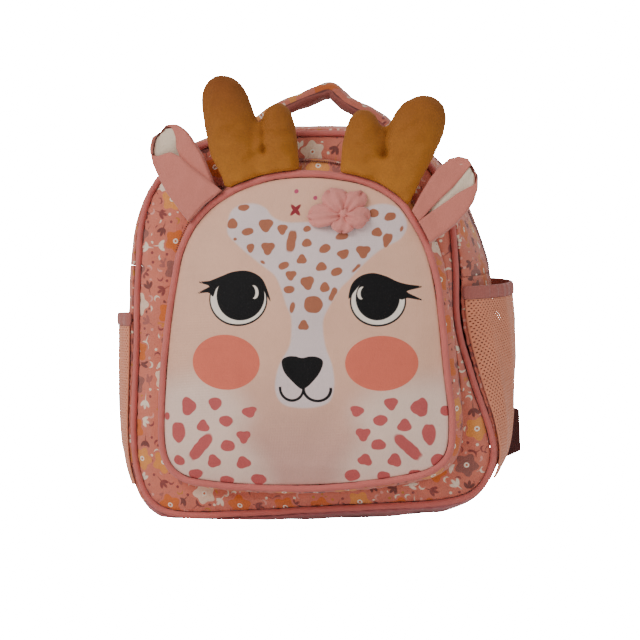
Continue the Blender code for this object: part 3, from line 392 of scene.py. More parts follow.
def motif_places(tree, cloth, cell, shift, scatter):
    """Each point's offset in mm from its cell's place, turned by chance, and the cell's chance."""
    moved = add(tree, "Mapping", {
        "Vector": cloth, "Location": (shift, shift * 0.37, 0.0), "Scale": (1.0, 1.0, 0.0)})
    cells = add(tree, "TexVoronoi", {"Vector": moved.outputs[0], "Scale": 1.0 / cell, "Randomness": scatter},
                voronoi_dimensions="2D")
    offset = add(tree, "VectorMath", {0: moved.outputs[0], 1: cells.outputs["Position"]},
                 operation="SUBTRACT")
    chance = add(tree, "SeparateXYZ", {"Vector": cells.outputs["Color"]})
    turn = calc(tree, "MULTIPLY", chance.outputs["X"], math.tau)
    turned = add(tree, "VectorRotate", {"Vector": offset.outputs[0], "Angle": turn}, rotation_type="Z_AXIS")
    return turned.outputs[0], chance


def inside(tree, value, edge, soft):
    """1 where the value is below the edge and 0 above it, with a soft step between."""
    step = add(tree, "MapRange", {"Value": value, "From Min": edge + soft, "From Max": edge - soft},
               interpolation_type="SMOOTHSTEP")
    return step.outputs["Result"]


def oval(tree, cloth, centre, halves, turn=0.0, soft=0.35):
    """Mask of an oval: the length of the point in the oval's own unit circle, below 1."""
    own = add(tree, "Mapping", {
        "Vector": cloth, "Location": (*centre, 0.0), "Rotation": (0.0, 0.0, math.radians(turn)),
        "Scale": (*halves, 1.0)}, vector_type="TEXTURE")
    reach = add(tree, "VectorMath", {0: own.outputs[0]}, operation="LENGTH")
    return inside(tree, reach.outputs["Value"], 1.0, soft / min(halves))


def paint(tree, under, colour, mask):
    """The colour laid over what is under it, where the mask is 1."""
    mixed = add(tree, "Mix", {"Factor": mask, "A": under, "B": colour}, data_type="RGBA")
    return mixed.outputs["Result"]


print("print tools ready")

# %% [markdown]
# A daisy is where the distance from its place is below a radius that waves five times round.
# A leaf is a narrow oval. A crescent is an oval with a second oval taken away. Motifs never
# reach their cell's edge, so none is cut. The sizes are those of a child's print: daisies
# 18 mm across, leaves 6 mm long, dots 2 mm.

# %% Ditsy print
GROUND = "#d0705a"
SMALL_TONES = ((0.0, "#ecd2ba"), (0.34, "#8c3f3a"), (0.62, "#e0998a"), (0.84, "#bf7a2c"))
LEAF_TONES = ((0.0, "#873a33"), (0.30, "#74372f"), (0.52, "#eed6bf"), (0.72, "#a55a50"), (0.88, "#cf7a34"))
PETAL_TONES = ((0.0, "#cf641b"), (0.42, "#df8c40"), (0.64, "#93564c"), (0.82, "#ecc9ae"))
SPRIG = (
    # middle across and up, half width and height in mm, turn in degrees: a stem and three leaves
    ((0.0, -1.0), (0.42, 4.2), 0.0), ((-2.1, 1.3), (1.35, 3.0), 38.0), ((2.1, 1.3), (1.35, 3.0), -38.0),
    ((0.0, 3.1), (1.2, 2.6), 0.0),
)


def ditsy_colour(tree, cloth):
    """The whole print as one colour: ground, small motifs, sprigs, then daisies on top."""
    ground = linear(GROUND)
    colour = add(tree, "Mix", {"Factor": 0.0, "A": ground, "B": ground}, data_type="RGBA").outputs["Result"]

    # Dots and crescents, one to a cell of 7.5 mm
    offset, chance = motif_places(tree, cloth, 7.5, 31.0, 0.7)
    reach = add(tree, "VectorMath", {0: offset}, operation="LENGTH").outputs["Value"]
    dot = inside(tree, reach, 1.15, 0.2)
    bite = oval(tree, offset, (1.3, 0.0), (2.2, 2.2))
    crescent = calc(tree, "MULTIPLY", inside(tree, reach, 2.5, 0.25), calc(tree, "SUBTRACT", 1.0, bite))
    is_crescent = calc(tree, "GREATER_THAN", chance.outputs["Y"], 0.55)
    small = add(tree, "Mix", {"Factor": is_crescent, "A": dot, "B": crescent}).outputs["Result"]
    colour = paint(tree, colour, ramp(tree, chance.outputs["Z"], SMALL_TONES, "CONSTANT"), small)

    # Sprigs, one to a cell of 15 mm, each on a patch of plain ground
    offset, chance = motif_places(tree, cloth, 15.0, 7.0, 0.5)
    colour = paint(tree, colour, ground, oval(tree, offset, (0.0, 0.5), (5.4, 5.4)))
    leaf_tone = ramp(tree, chance.outputs["Y"], LEAF_TONES, "CONSTANT")
    for centre, halves, turn in SPRIG:
        colour = paint(tree, colour, leaf_tone, oval(tree, offset, centre, halves, turn))

    # Daisies, one to a cell of 29 mm, each with a rim of plain ground and a two-coloured eye
    offset, chance = motif_places(tree, cloth, 29.0, 50.0, 0.45)
    parts = add(tree, "SeparateXYZ", {"Vector": offset})
    angle = calc(tree, "ARCTAN2", parts.outputs["Y"], parts.outputs["X"])
    wave = calc(tree, "COSINE", calc(tree, "MULTIPLY", angle, 5.0))
    reach = add(tree, "VectorMath", {0: offset}, operation="LENGTH").outputs["Value"]
    rim = calc(tree, "MULTIPLY_ADD", wave, -1.25, reach)
    colour = paint(tree, colour, ground, inside(tree, rim, 9.6, 0.3))
    petal_tone = ramp(tree, chance.outputs["Y"], PETAL_TONES, "CONSTANT")
    colour = paint(tree, colour, petal_tone, inside(tree, rim, 8.0, 0.3))
    colour = paint(tree, colour, linear("#f4e3cf"), inside(tree, reach, 2.0, 0.25))
    return paint(tree, colour, linear("#c2653a"), inside(tree, reach, 0.9, 0.25))


def worn(tree, colour, cloth, low, high):
    """Uneven dye and handling: the colour times a soft noise between two shares."""
    patch = add(tree, "TexNoise", {"Vector": cloth, "Scale": 0.03, "Detail": 5.0, "Roughness": 0.6})
    share = add(tree, "MapRange", {"Value": patch.outputs["Fac"], "From Min": 0.3, "From Max": 0.7,
                                   "To Min": low, "To Max": high})
    grey = add(tree, "CombineColor", {key: share.outputs[0] for key in ("Red", "Green", "Blue")})
    mixed = add(tree, "Mix", {"Factor": 1.0, "A": colour, "B": grey.outputs[0]},
                data_type="RGBA", blend_type="MULTIPLY")
    return mixed.outputs["Result"]


def woven(tree, shader, colour, cloth, wear, spacing=1.3, strength=0.45):
    """Links a colour, worn between two shares, and the relief of the weave to the shader."""
    tree.links.new(worn(tree, colour, cloth, *wear), shader.inputs["Base Color"])
    tree.links.new(weave_relief(tree, cloth, spacing, strength), shader.inputs["Normal"])


def cloth_finish(name, hex_colour, spacing, strength=0.45, roughness=0.78, sheen=0.25, wear=(0.92, 1.05)):
    """Woven cloth that reads the piece's own millimetres: plain, or printed where no colour is given."""
    made, tree, shader = start_material(name, roughness, sheen)
    cloth = stored(tree, "cloth_mm", "Vector")
    colour = linear(hex_colour) if hex_colour else ditsy_colour(tree, cloth)
    woven(tree, shader, colour, cloth, wear, spacing, strength)
    return made


# Polyester canvas has about 1 thread to 0.4 mm; 1.3 mm is as fine as this picture can show.
ditsy_print = cloth_finish("ditsy_print_polyester", None, 1.3)
plain_pink = cloth_finish("dusky_pink_polyester", "#c8705f", 1.3)
piping_pink = cloth_finish("bias_cut_piping_satin", "#c9655c", 0.9, roughness=0.6, sheen=0.2)
maroon_webbing = cloth_finish("maroon_webbing", "#4a1818", 1.8, strength=0.8)
binding_pink = cloth_finish("brown_pink_binding", "#a85a50", 1.1, roughness=0.6)
cream_cloth = cloth_finish("cream_lining_cotton", "#e2cdb4", 1.2)
print("cloth finishes:", len(bpy.data.materials))

# %% [markdown]
# The front of the body is one crowned panel. Little of it shows: a strip on both sides of the
# pocket, more at the top. It is drawn as rings from its middle out to the piping, where the
# seam's thread gathers it into small puckers, and then back inside as the panel's other face.


# %% Front panel
def puckers(shares, length, spacing):
    """Gathers along a seam, -1 to 1: a sine of the run whose spacing drifts a little."""
    run = shares * length
    return np.sin(run * math.tau / spacing + 1.3 * np.sin(run * math.tau / (spacing * 7.3)))


def flare(shares):
    """How far the pocket's band spreads at its foot: more at the top, where the antlers pull."""
    middle = np.mod(shares + 0.5, 1.0) - 0.5
    return POCKET_FLARE * (1.0 + 1.1 * np.exp(-(middle / 0.07) ** 2))


def panel_rings():
    """Ring places and depths of the front panel, from its middle to its edge."""
    shares = np.arange(360) / 360
    edge = at_shares(FRONT, shares)[:, :2] - (PIPING + GAP) * outward(FRONT, shares)
    foot = at_shares(POCKET, shares) + flare(shares)[:, None] * outward(POCKET, shares)
    middle = foot.mean(axis=0)
    inner = np.array([0.02, 0.28, 0.62, 0.9])[:, None, None]
    inner_rings = middle + (foot - middle) * inner
    inner_crown = np.array([1.0, 0.97, 0.86, 0.70])
    w = np.linspace(1.0, 0.0, 34)
    outer_rings = edge + (foot - edge) * w[:, None, None]
    crown = np.concatenate([inner_crown, 0.64 * (1.0 - (1.0 - w) ** 2)])
    return shares, np.vstack([inner_rings, outer_rings]), crown, w


shares, rings, crown, w = panel_rings()
sections = place_loop(rings, (FRONT_Y - FRONT_CROWN * crown)[:, None])
near_seam = np.concatenate([np.zeros(4), np.exp(-w * 9.0)])
PANEL_FOLDS = (
    # from x, from z, to x, to z, width, height, in mm
    (-128, 120, -118, 70, 5.0, 1.1), (-121, 60, -128, 150, 4.0, -0.9), (-127, 190, -112, 235, 6.0, 1.2),
    (126, 150, 122, 110, 5.0, 1.2), (134, 90, 138, 40, 6.0, 1.4), (118, 200, 112, 240, 5.0, -1.0),
    (-90, 20, -20, 17, 3.5, 1.2), (10, 20, 90, 24, 3.5, -1.0), (-20, 288, 40, 289, 5.0, 1.0),
)
lumps = folds(rings[..., 0] * 1000, rings[..., 1] * 1000, PANEL_FOLDS) * 0.001
pucker = 0.0005 * puckers(shares, FRONT_LENGTH, 0.011) * near_seam[:, None]
still = np.clip(np.concatenate([np.zeros(4), 1.0 - np.abs(w * 2.0 - 1.0) ** 6]), 0.0, 1.0)[:, None]
sections[..., 1] -= lumps * still + pucker + 0.0006 * unevenness(sections, 0.03, 3) * still
inside_face = sections[::-1][[0, 8, 20, 34, 36]] + np.array([0.0, CLOTH, 0.0])
sections = np.concatenate([sections, inside_face])
cloth_mm = sections[..., [0, 2, 1]] * 1000
front_panel = skin("front_panel_cloth", sections, {"cloth_mm": cloth_mm})
sew_in(front_panel, ditsy_print, "floral_print", "front_panel")

# %% [markdown]
# The side of the bag is a long strip, sewn to the front and back seams and swollen between
# them by what the bag holds. A point on it is the seam's point, moved outwards by the swell
# times (1 - |u| ** 2.2) ** 0.75, where u goes from -1 at the front seam to 1 at the back.


# %% Side strip
def swell_profile(across):
    """How full the strip is between its seams: 0 at a seam and 1 midway."""
    return (1.0 - np.clip(np.abs(across), 0.0, 1.0) ** 2.2) ** 0.75


def strip_point(shares, across, lift=0.0):
    """Seam + outwards * (step + (swell - step) * profile + lift), never below the floor."""
    shares, across, lift = np.broadcast_arrays(shares, across, lift)
    front = at_shares(FRONT, shares)
    back = at_shares(BACK, shares)
    mix = ((across + 1.0) / 2.0)[..., None]
    seam = front * (1.0 - mix) + back * mix
    rise = SEAM_STEP + (front[..., 2] - SEAM_STEP) * swell_profile(across) + lift
    plane = seam[..., :2] + outward(FRONT, shares) * rise[..., None]
    return np.stack([plane[..., 0], across * DEPTH / 2.0, np.maximum(plane[..., 1], 0.0)], axis=-1)


EDGE = 1.0 - 2.0 * SEAM_STEP / DEPTH
STRIP_FOLDS = (
    # from run, from y, to run, to y, width, height, in mm
    (230, -42, 300, -20, 6.0, 1.2), (260, 40, 330, 15, 7.0, 1.3), (395, -30, 440, 30, 6.0, -1.4),
    (690, -35, 640, 25, 6.0, -1.3), (800, -42, 850, -5, 7.0, 1.4), (830, 35, 880, 10, 6.0, 1.2),
    (905, -44, 880, -22, 4.0, 1.0), (500, -40, 500, 40, 8.0, 0.8), (590, -40, 600, 40, 8.0, -0.8),
)


def strip(name, shares, stations, rows=STRIP_FOLDS, rough=0.0007):
    """A strip's closed section is its stations out and back inside; it is carried along shares."""
    run = (shares * FRONT_LENGTH * 1000)[:, None]
    depth = (stations * DEPTH / 2.0 * 1000)[None, :]
    flat = strip_point(shares[:, None], stations[None, :])
    calm = (1.0 - np.abs(stations) ** 8)[None, :]
    ends = np.minimum(np.arange(len(shares)), np.arange(len(shares))[::-1])[:, None] / 6.0
    calm = calm * np.clip(ends, 0.0, 1.0)
    lift = (folds(run, depth, rows) * 0.001 + rough * unevenness(flat, 0.035, 5)) * calm
    lift = lift + 0.0004 * puckers(shares, FRONT_LENGTH, 0.010)[:, None] * np.abs(stations[None, :]) ** 6
    outside = strip_point(shares[:, None], stations[None, :], lift)
    few = np.linspace(len(stations) - 1, 0, 7).round().astype(int)
    inside_face = strip_point(shares[:, None], stations[None, few], lift[:, few] - CLOTH)
    inside_face[..., 2] = np.maximum(inside_face[..., 2], CLOTH)
    sections = np.concatenate([outside, inside_face], axis=1)
    across_mm = np.tile(np.concatenate([depth, depth[:, few]], axis=1), (len(run), 1))
    along_mm = np.broadcast_to(run, across_mm.shape)
    cloth_mm = np.stack([along_mm, across_mm * 1.15, np.zeros_like(along_mm)], axis=-1)
    return skin(name, sections, {"cloth_mm": cloth_mm, "run_mm": along_mm})


ZIP_SHARE = 10.0 / 52.0
shares = np.linspace(ZIP_SHARE, 1.0 - ZIP_SHARE, 330)
side_strip = strip("side_strip_cloth", shares, np.linspace(-EDGE, EDGE, 52))

# The bottom of the strip is a plain piece let in between two cross seams.
strip_print, tree, shader = start_material("ditsy_print_with_plain_bottom", 0.78, 0.25)
cloth = stored(tree, "cloth_mm", "Vector")
from_middle = calc(tree, "SUBTRACT", stored(tree, "run_mm"), 0.505 * FRONT_LENGTH * 1000)
from_middle = calc(tree, "ABSOLUTE", from_middle)
bottom_half = 0.128 * FRONT_LENGTH * 1000
on_bottom = inside(tree, from_middle, bottom_half, 0.3)
colour = paint(tree, ditsy_colour(tree, cloth), linear("#b9686a"), on_bottom)
from_seam = calc(tree, "ABSOLUTE", calc(tree, "SUBTRACT", from_middle, bottom_half))
colour = paint(tree, colour, linear("#8d4a48"), inside(tree, from_seam, 0.5, 0.3))
woven(tree, shader, colour, cloth, (0.90, 1.05))
sew_in(side_strip, strip_print, "floral_print", "gusset_base")

# %% [markdown]
# Over the top the strip is split in two by the main zip, set 8 mm behind the crest. The tape
# is a woven ribbon; the coil on it is one plastic thread wound in small loops, so it is drawn
# as a row of little bars, each with few faces because there are hundreds.

# %% Top strips and zip
TAPE = 0.012
TAPE_THICK = 0.0012
ZIP_BACK = 0.008
COIL_WIDTH = 0.0046
COIL_HEIGHT = 0.0012
top_shares = np.linspace(-ZIP_SHARE + GAP / FRONT_LENGTH, ZIP_SHARE - GAP / FRONT_LENGTH, 200)
TOP_FOLDS = ((-20, -40, 40, -30, 5.0, 0.8), (90, -35, 150, -20, 6.0, 1.0), (-150, -38, -90, -25, 6.0, 1.0))
half = DEPTH / 2.0
front_stations = np.linspace(-EDGE, (ZIP_BACK - TAPE / 2.0 - GAP) / half, 26)
back_stations = np.linspace((ZIP_BACK + TAPE / 2.0 + GAP) / half, EDGE, 18)
top_front = strip("top_strip_front_cloth", top_shares, front_stations, rows=TOP_FOLDS, rough=0.0004)
top_back = strip("top_strip_back_cloth", top_shares, back_stations, rows=(), rough=0.0004)
sew_in(top_front, ditsy_print, "floral_print", "gusset_top_front")
sew_in(top_back, ditsy_print, "floral_print", "gusset_top_back")


def coil_bars(name, middles, wide, out, size):
    """A row of rounded bars: each is a six-sided section at three stations across the tape,
    its ends drawn down; all of them are worked out as one array."""
    turns = np.arange(6) * math.tau / 6
    along = np.cross(wide, out)
    stations = np.array([-1.0, -0.55, 0.55, 1.0])
    height = np.array([0.25, 0.95, 0.95, 0.25]) * size[2]
    grow = np.array([0.6, 1.0, 1.0, 0.6])
    grow = grow[None, :, None, None]
    ring = (np.cos(turns)[None, :, None] * along[:, None, None, :] * size[1] * grow
            + np.sin(turns)[None, :, None] * out[:, None, None, :] * size[2] * 0.5 * grow)
    spine = (middles[:, None, :] + stations[None, :, None] * wide[:, None, :] * size[0]
             + height[None, :, None] * out[:, None, :] * 0.5)
    points = (spine[:, :, None, :] + ring).reshape(-1, 3)
    start = (np.arange(len(middles)) * 24)[:, None, None]
    row = (np.arange(3) * 6)[None, :, None]
    here, after = np.arange(6)[None, None, :], (np.arange(6)[None, None, :] + 1) % 6
    quads = np.stack(np.broadcast_arrays(start + row + here, start + row + after,
                                         start + row + 6 + after, start + row + 6 + here), -1).reshape(-1, 4)
    caps = [(start[:, 0] + np.arange(6)[None, ::-1]), (start[:, 0] + 18 + np.arange(6)[None, :])]
    faces = quads.tolist() + caps[0].tolist() + caps[1].tolist()
    return sheet(name, points, faces, turned_out=True)


def moulded(name, roughness, coat, scale, detail, dark, light, strength):
    """A plastic with a fine speckle in its colour and its relief."""
    made, tree, shader = start_material(name, roughness, 0.0, coat)
    speck = add(tree, "TexNoise", {"Scale": scale, "Detail": detail}).outputs["Fac"]
    tree.links.new(ramp(tree, speck, ((0.0, dark), (1.0, light))), shader.inputs["Base Color"])
    relief = add(tree, "Bump", {"Height": speck, "Strength": strength, "Distance": 0.0001})
    tree.links.new(relief.outputs["Normal"], shader.inputs["Normal"])
    return made


def vector_out(curve, shares):
    """Outward normals as vectors in X, Y and Z."""
    plane = outward(curve, shares)
    return np.stack([plane[..., 0], np.zeros(plane.shape[:-1]), plane[..., 1]], axis=-1)


tape_across = np.array([-0.5, -0.46, -0.2, 0.2, 0.46, 0.5, 0.46, 0.0, -0.46]) * TAPE
tape_height = np.array([-0.5, 0.0, 0.05, 0.05, 0.0, -0.5, -1.0, -1.0, -1.0]) * TAPE_THICK
station = (ZIP_BACK + tape_across) / half
tape_line = strip_point(top_shares[:, None], station[None, :], tape_height[None, :])
run = (top_shares * FRONT_LENGTH * 1000)[:, None]
cloth_mm = np.stack(np.broadcast_arrays(run, tape_across[None, :] * 1000, 0.0), axis=-1)
zip_tape = skin("main_zip_tape", tape_line, {"cloth_mm": cloth_mm})
tape_cloth = cloth_finish("woven_zip_tape", "#8f4e49", 1.0, strength=0.6)
sew_in(zip_tape, tape_cloth, "zip_tape", "main_zip")

coil_plastic = moulded("nylon_zip_coil", 0.42, 0.15, 900.0, 2.0, "#7c403c", "#94534c", 0.1)

count = int(2.0 * ZIP_SHARE * FRONT_LENGTH / 0.0016)
bar_shares = np.linspace(-ZIP_SHARE + 0.004, ZIP_SHARE - 0.004, count)
bar_middle = strip_point(bar_shares, np.full(count, ZIP_BACK / half), 0.05 * TAPE_THICK)
bar_out = vector_out(FRONT, bar_shares)
bar_wide = np.tile([0.0, 1.0, 0.0], (count, 1))
main_coil = coil_bars("main_zip_coil", bar_middle, bar_wide, bar_out,
                      (COIL_WIDTH / 2.0, 0.00058, COIL_HEIGHT))
main_coil.data.materials.append(coil_plastic)
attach(main_coil, "root")
print("coil bars:", count)

# %% [markdown]
# Piping is a cord wrapped in a bias-cut ribbon and caught in the seam. Round it is nearly a
# circle, but the thread pulls it in every few millimetres and its wrap lies unevenly, so the
# radius waves a little along the run.


# %% Piping
def piping(name, curve, length, depth, radius, node, seed):
    """A closed tube: curve + radius * (cos * outwards + sin * forwards), radius waving 5%."""
    count = int(length / 0.0022)
    shares = np.arange(count + 1) / count
    turns = np.arange(12) * math.tau / 12
    middle = place_loop(at_shares(curve, shares)[:, :2], depth)
    out = vector_out(curve, shares)
    wave = 1.0 - 0.05 * (0.5 + 0.5 * puckers(shares, length, 0.0093))
    middle = middle + 0.0003 * unevenness(middle, 0.03, seed)[:, None] * out
    ring = np.cos(turns)[None, :, None] * out[:, None, :]
    ring = ring + np.sin(turns)[None, :, None] * np.array([0.0, 1.0, 0.0])
    tube = middle[:, None, :] + radius * wave[:, None, None] * ring
    tube = tube[:-1]
    run = np.broadcast_to((shares[:-1] * length * 1000)[:, None], (count, 12))
    round_mm = np.broadcast_to(turns * radius * 1000, (count, 12))
    cloth_mm = np.stack([run + round_mm, run - round_mm, np.zeros_like(run)], -1).reshape(-1, 3)
    made = sheet(name, tube.reshape(-1, 3), ring_quads(count, 12), {"cloth_mm": cloth_mm}, turned_out=True)
    return sew_in(made, piping_pink, "piping", node)


piping("front_piping_cord", FRONT, FRONT_LENGTH, FRONT_Y, PIPING, "piping_front", 11)
piping("back_piping_cord", BACK, FRONT_LENGTH, BACK_Y, PIPING, "piping_back", 12)
piping("pocket_piping_cord", POCKET, POCKET_LENGTH, POCKET_Y, POCKET_PIPING, "piping_pocket", 13)

# %% [markdown]
# The pocket stands off the body on a band of the printed cloth, spread at its foot. Its face
# is a full, crowned panel: depth falls from the middle to the seam as 1 - s ** 2.4. A few
# broad dents keep it from being a perfect dome.

# %% Pocket band and zip
BAND_TOP_Y = POCKET_Y + POCKET_PIPING + GAP
POCKET_HUB = at_shares(POCKET, np.arange(52) / 52).mean(axis=0)


def band_point(shares, t, lift):
    """Pocket seam + outwards * (foot's flare fading to the seam + a soft belly + lift)."""
    shares, t, lift = np.broadcast_arrays(shares, t, lift)
    seam = at_shares(POCKET, shares)
    spread = flare(shares)
    stand = spread * (1.0 - t) + 2.0 * GAP * t + 0.25 * POCKET_FLARE * np.sin(math.pi * t) + lift
    plane = seam + outward(POCKET, shares) * stand[..., None]
    foot_y = FRONT_Y - 0.64 * FRONT_CROWN - 2.0 * GAP - 0.65 * CLOTH * (spread / POCKET_FLARE - 1.0)
    return place_loop(plane, foot_y + (BAND_TOP_Y - foot_y) * t)


count = 320
shares = np.arange(count + 1) / count
t = np.linspace(0.0, 1.0, 14)
lift = 0.0004 * puckers(shares, POCKET_LENGTH, 0.012)[None, :] * np.sin(math.pi * t)[:, None]
shell = band_point(shares[None, :-1], t[:, None], lift[:, :-1])
lining = band_point(shares[None, :-1], t[::-1][[0, 4, 9, 13], None], -CLOTH)
band_rows = np.concatenate([shell, lining])
run = np.broadcast_to((shares[:-1] * POCKET_LENGTH * 1000)[None, :], band_rows.shape[:2])
cloth_mm = np.stack([run + 400.0, band_rows[..., 1] * 1000, np.zeros_like(run)], -1).reshape(-1, 3)
pocket_band = sheet("pocket_band_cloth", band_rows.reshape(-1, 3), ring_quads(len(band_rows), count),
                    {"cloth_mm": cloth_mm}, turned_out=True)
sew_in(pocket_band, ditsy_print, "floral_print", "pocket_gusset")

count = int(0.30 * POCKET_LENGTH / 0.0016)
bar_shares = np.linspace(-0.15, 0.15, count)
bar_middle = band_point(bar_shares, np.full(count, 0.40), 2.0 * GAP)
pocket_coil = coil_bars("pocket_zip_coil", bar_middle, np.tile([0.0, 1.0, 0.0], (count, 1)),
                        vector_out(POCKET, bar_shares), (COIL_WIDTH / 2.0, 0.00058, COIL_HEIGHT))
sew_in(pocket_coil, coil_plastic, "zip_plastic", "pocket_zip")

# %% [markdown]
# The fawn's face is printed on a smooth, light polyester. A print like this is flat shapes in
# order: ground, pale blaze, spots, cheeks, eyes, nose and mouth. What has a free outline, as
# the blaze, the spots, the nose and the lids have, is stored on the mesh as the distance to that
# outline; the eyes, cheeks, mouth and small marks are ovals and arcs, drawn in the material.

# %% Pocket face, the cloth
FACE_FOLDS = (
    # from x, from z, to x, to z, width, height, in mm
    (-62, 168, -58, 92, 11.0, -0.9), (-46, 165, -44, 88, 9.0, 0.8), (30, 85, 8, 48, 12.0, -1.3),
    (48, 92, 30, 50, 10.0, 0.9), (-92, 120, -98, 60, 8.0, 1.0), (88, 190, 98, 120, 9.0, 0.8),
    (-30, 48, 50, 46, 6.0, 0.9), (-20, 246, 30, 250, 9.0, -0.8), (104, 90, 108, 60, 7.0, -1.0),
)
BLAZE = (
    # outline of the pale blaze, in mm: across, up
    (-50, 228), (-48, 238), (-41, 243), (-30, 244), (-21, 240.5), (-15, 234), (-5, 230), (10, 230),
    (25, 231), (40, 234), (55, 241), (67, 243.5), (77, 240.5), (83, 233), (84, 225), (79, 217),
    (67, 210.5), (59, 204), (51, 196), (44, 188), (37.5, 181.5), (31, 171), (25.5, 160), (25, 150),
    (27, 138), (32, 124), (33, 109), (28, 97), (12, 93), (-5, 95.5), (-11, 107), (-8, 124), (0, 139),
    (1.5, 152), (1, 161), (-2.5, 169), (-7, 182), (-12, 191), (-22, 198.5), (-34, 207.5), (-43, 215),
    (-49, 221),
)
BROW_SPOTS = (
    # across and up in mm, half width and height in mm, turn in degrees, corners: up above 0, down below
    (-38, 241, 4.6, 2.4, 5, 0.0), (-46, 229, 4.1, 4.0, 0, 0.1), (-34, 223, 4.6, 2.8, 10, 0.0),
    (-20, 228, 5.4, 4.7, 0, -0.14), (-7, 225, 3.8, 3.7, 0, -0.16), (0, 216, 3.5, 8.1, -8, 0.0),
    (11.5, 225, 3.0, 2.2, 0, 0.0), (-17.5, 211, 5.0, 4.6, 0, -0.16), (11.5, 214.5, 3.8, 3.0, 0, 0.08),
    (-31, 211, 3.0, 3.3, 0, -0.14), (-43.5, 217.5, 1.5, 1.1, 0, 0.0), (-21, 200.5, 1.7, 1.1, -30, 0.0),
    (25.5, 210.5, 4.5, 3.1, 25, 0.0), (37.5, 219.5, 4.5, 2.9, 10, 0.0), (8.5, 202.5, 3.6, 3.6, 0, 0.16),
    (-5, 198, 4.2, 2.8, 10, 0.0), (23, 197, 4.0, 3.3, 0, 0.08), (39, 206.5, 4.2, 3.6, 15, -0.15),
    (53.5, 208.5, 4.9, 4.6, 0, -0.18), (60, 236.5, 3.8, 3.3, 0, 0.0), (72, 234, 4.5, 3.1, 20, 0.0),
    (63, 222.5, 3.8, 3.3, 0, 0.1), (70.5, 217, 3.2, 5.3, -15, -0.14), (80.5, 225, 1.2, 2.2, -20, 0.0),
    (34.5, 193.5, 4.5, 3.0, 20, 0.0), (48.5, 196, 3.6, 1.1, 45, 0.0), (0.5, 191, 3.8, 3.6, 0, -0.15),
    (13, 185.5, 5.0, 4.9, 10, -0.12), (26, 182, 3.6, 3.7, 0, 0.1), (32, 177, 2.0, 5.2, -25, 0.0),
    (-0.5, 180.5, 4.0, 2.9, 0, 0.0), (17.5, 169.5, 7.0, 6.5, 0, 0.0), (2, 167.5, 2.1, 3.7, -10, 0.0),
    (10.5, 154, 3.9, 3.6, 0, 0.14),
)
FLANK_SPOTS = (
    # the same columns as above
    (-80, 92, 6.8, 6.0, -90, 0.14), (-58, 95, 5.3, 4.7, 0, -0.12), (-31, 89.5, 5.5, 4.0, 10, -0.14),
    (-98.5, 83.5, 2.4, 3.1, 0, 0.0), (-49.5, 82, 5.5, 4.2, -5, 0.0), (-68, 77.5, 5.0, 4.5, 0, 0.16),
    (-88.5, 72, 5.8, 8.0, 0, -0.05), (-70.5, 61.5, 13.0, 4.4, 48, 0.0), (-36.5, 70.5, 5.0, 4.8, 0, -0.2),
    (-49, 63, 5.8, 4.4, -5, 0.0), (-89, 50, 4.8, 3.8, -20, 0.0), (-61, 50.5, 5.0, 5.2, 20, 0.14),
    (-38, 50, 5.6, 4.6, 20, 0.14), (-76.5, 40, 5.8, 3.8, 8, 0.0), (-52.5, 35.5, 5.7, 3.6, 0, 0.0),
    (-27.5, 37, 6.0, 4.4, 0, 0.0), (95, 94, 6.6, 6.0, 90, 0.14), (74.5, 97, 4.8, 4.5, 0, -0.12),
    (49.5, 91.5, 5.0, 4.0, -10, -0.14), (113, 91, 4.1, 3.8, 0, 0.0), (66.5, 84.5, 5.2, 4.0, 5, 0.0),
    (84, 80.5, 4.9, 4.5, 0, 0.16), (101.5, 74, 5.0, 7.8, 6, -0.05), (86, 64.5, 12.3, 4.4, -45, 0.0),
    (53.5, 74, 5.2, 4.8, 0, -0.2), (64.5, 66, 5.6, 4.2, 5, 0.0), (107.5, 54, 5.2, 5.1, 0, 0.0),
    (76, 54, 5.0, 5.1, -15, 0.14), (54, 54, 5.2, 4.5, -15, 0.14), (91, 44.5, 5.2, 2.4, 0, 0.0),
    (67, 41.5, 5.2, 3.8, 0, 0.0), (44, 42, 6.0, 4.6, 20, 0.0),
)
NOSE = (
    (-6, 127.5), (-2.5, 130.8), (3.5, 131.4), (9.4, 130.2), (15.3, 131.4), (21.3, 130.8), (25, 127.5),
    (22.5, 119.5), (16, 111.5), (11.5, 107.8), (9.4, 107.1), (7.3, 107.8), (2.5, 112), (-4, 119.5),
)
# The upper lid of each eye with its two lashes, going round the dark shape
LEFT_LID = (
    (-73, 185.4), (-64, 186.2), (-60, 187.4), (-52.2, 190.4), (-44.4, 193.2), (-35, 194.2),
    (-27.2, 192.4), (-21, 188), (-17.1, 180.5), (-14.4, 171.5), (-19.0, 178.2), (-23.3, 184.6),
    (-28.8, 187.8), (-35.8, 189.2), (-43.6, 188.2), (-51.4, 185.2), (-57.2, 180.6), (-60.0, 174.6),
    (-64, 177.6), (-74, 176.6), (-66, 180.6), (-63, 182.6),
)
RIGHT_LID = (
    (43.4, 173.4), (45.4, 184), (51.7, 190.4), (60.7, 192.6), (70.4, 190.2), (77.9, 186.6), (85.3, 184.4),
    (96, 182.6), (87.4, 180), (85.6, 178.4), (97, 172.4), (86, 174.2), (80.6, 173.2), (76.2, 180),
    (69.6, 184.9), (60.7, 186.8), (52.9, 184.8), (48, 179.6),
)
LEFT_FLANK = ((-118, 112), (-96, 108), (-70, 112), (-46, 104), (-34, 88), (-40, 70), (-28, 54), (-22, 30),
              (-60, 24), (-116, 26))
RIGHT_FLANK = ((126, 112), (106, 112), (86, 110), (64, 104), (50, 90), (54, 70), (44, 54), (36, 30),
               (70, 24), (126, 28))


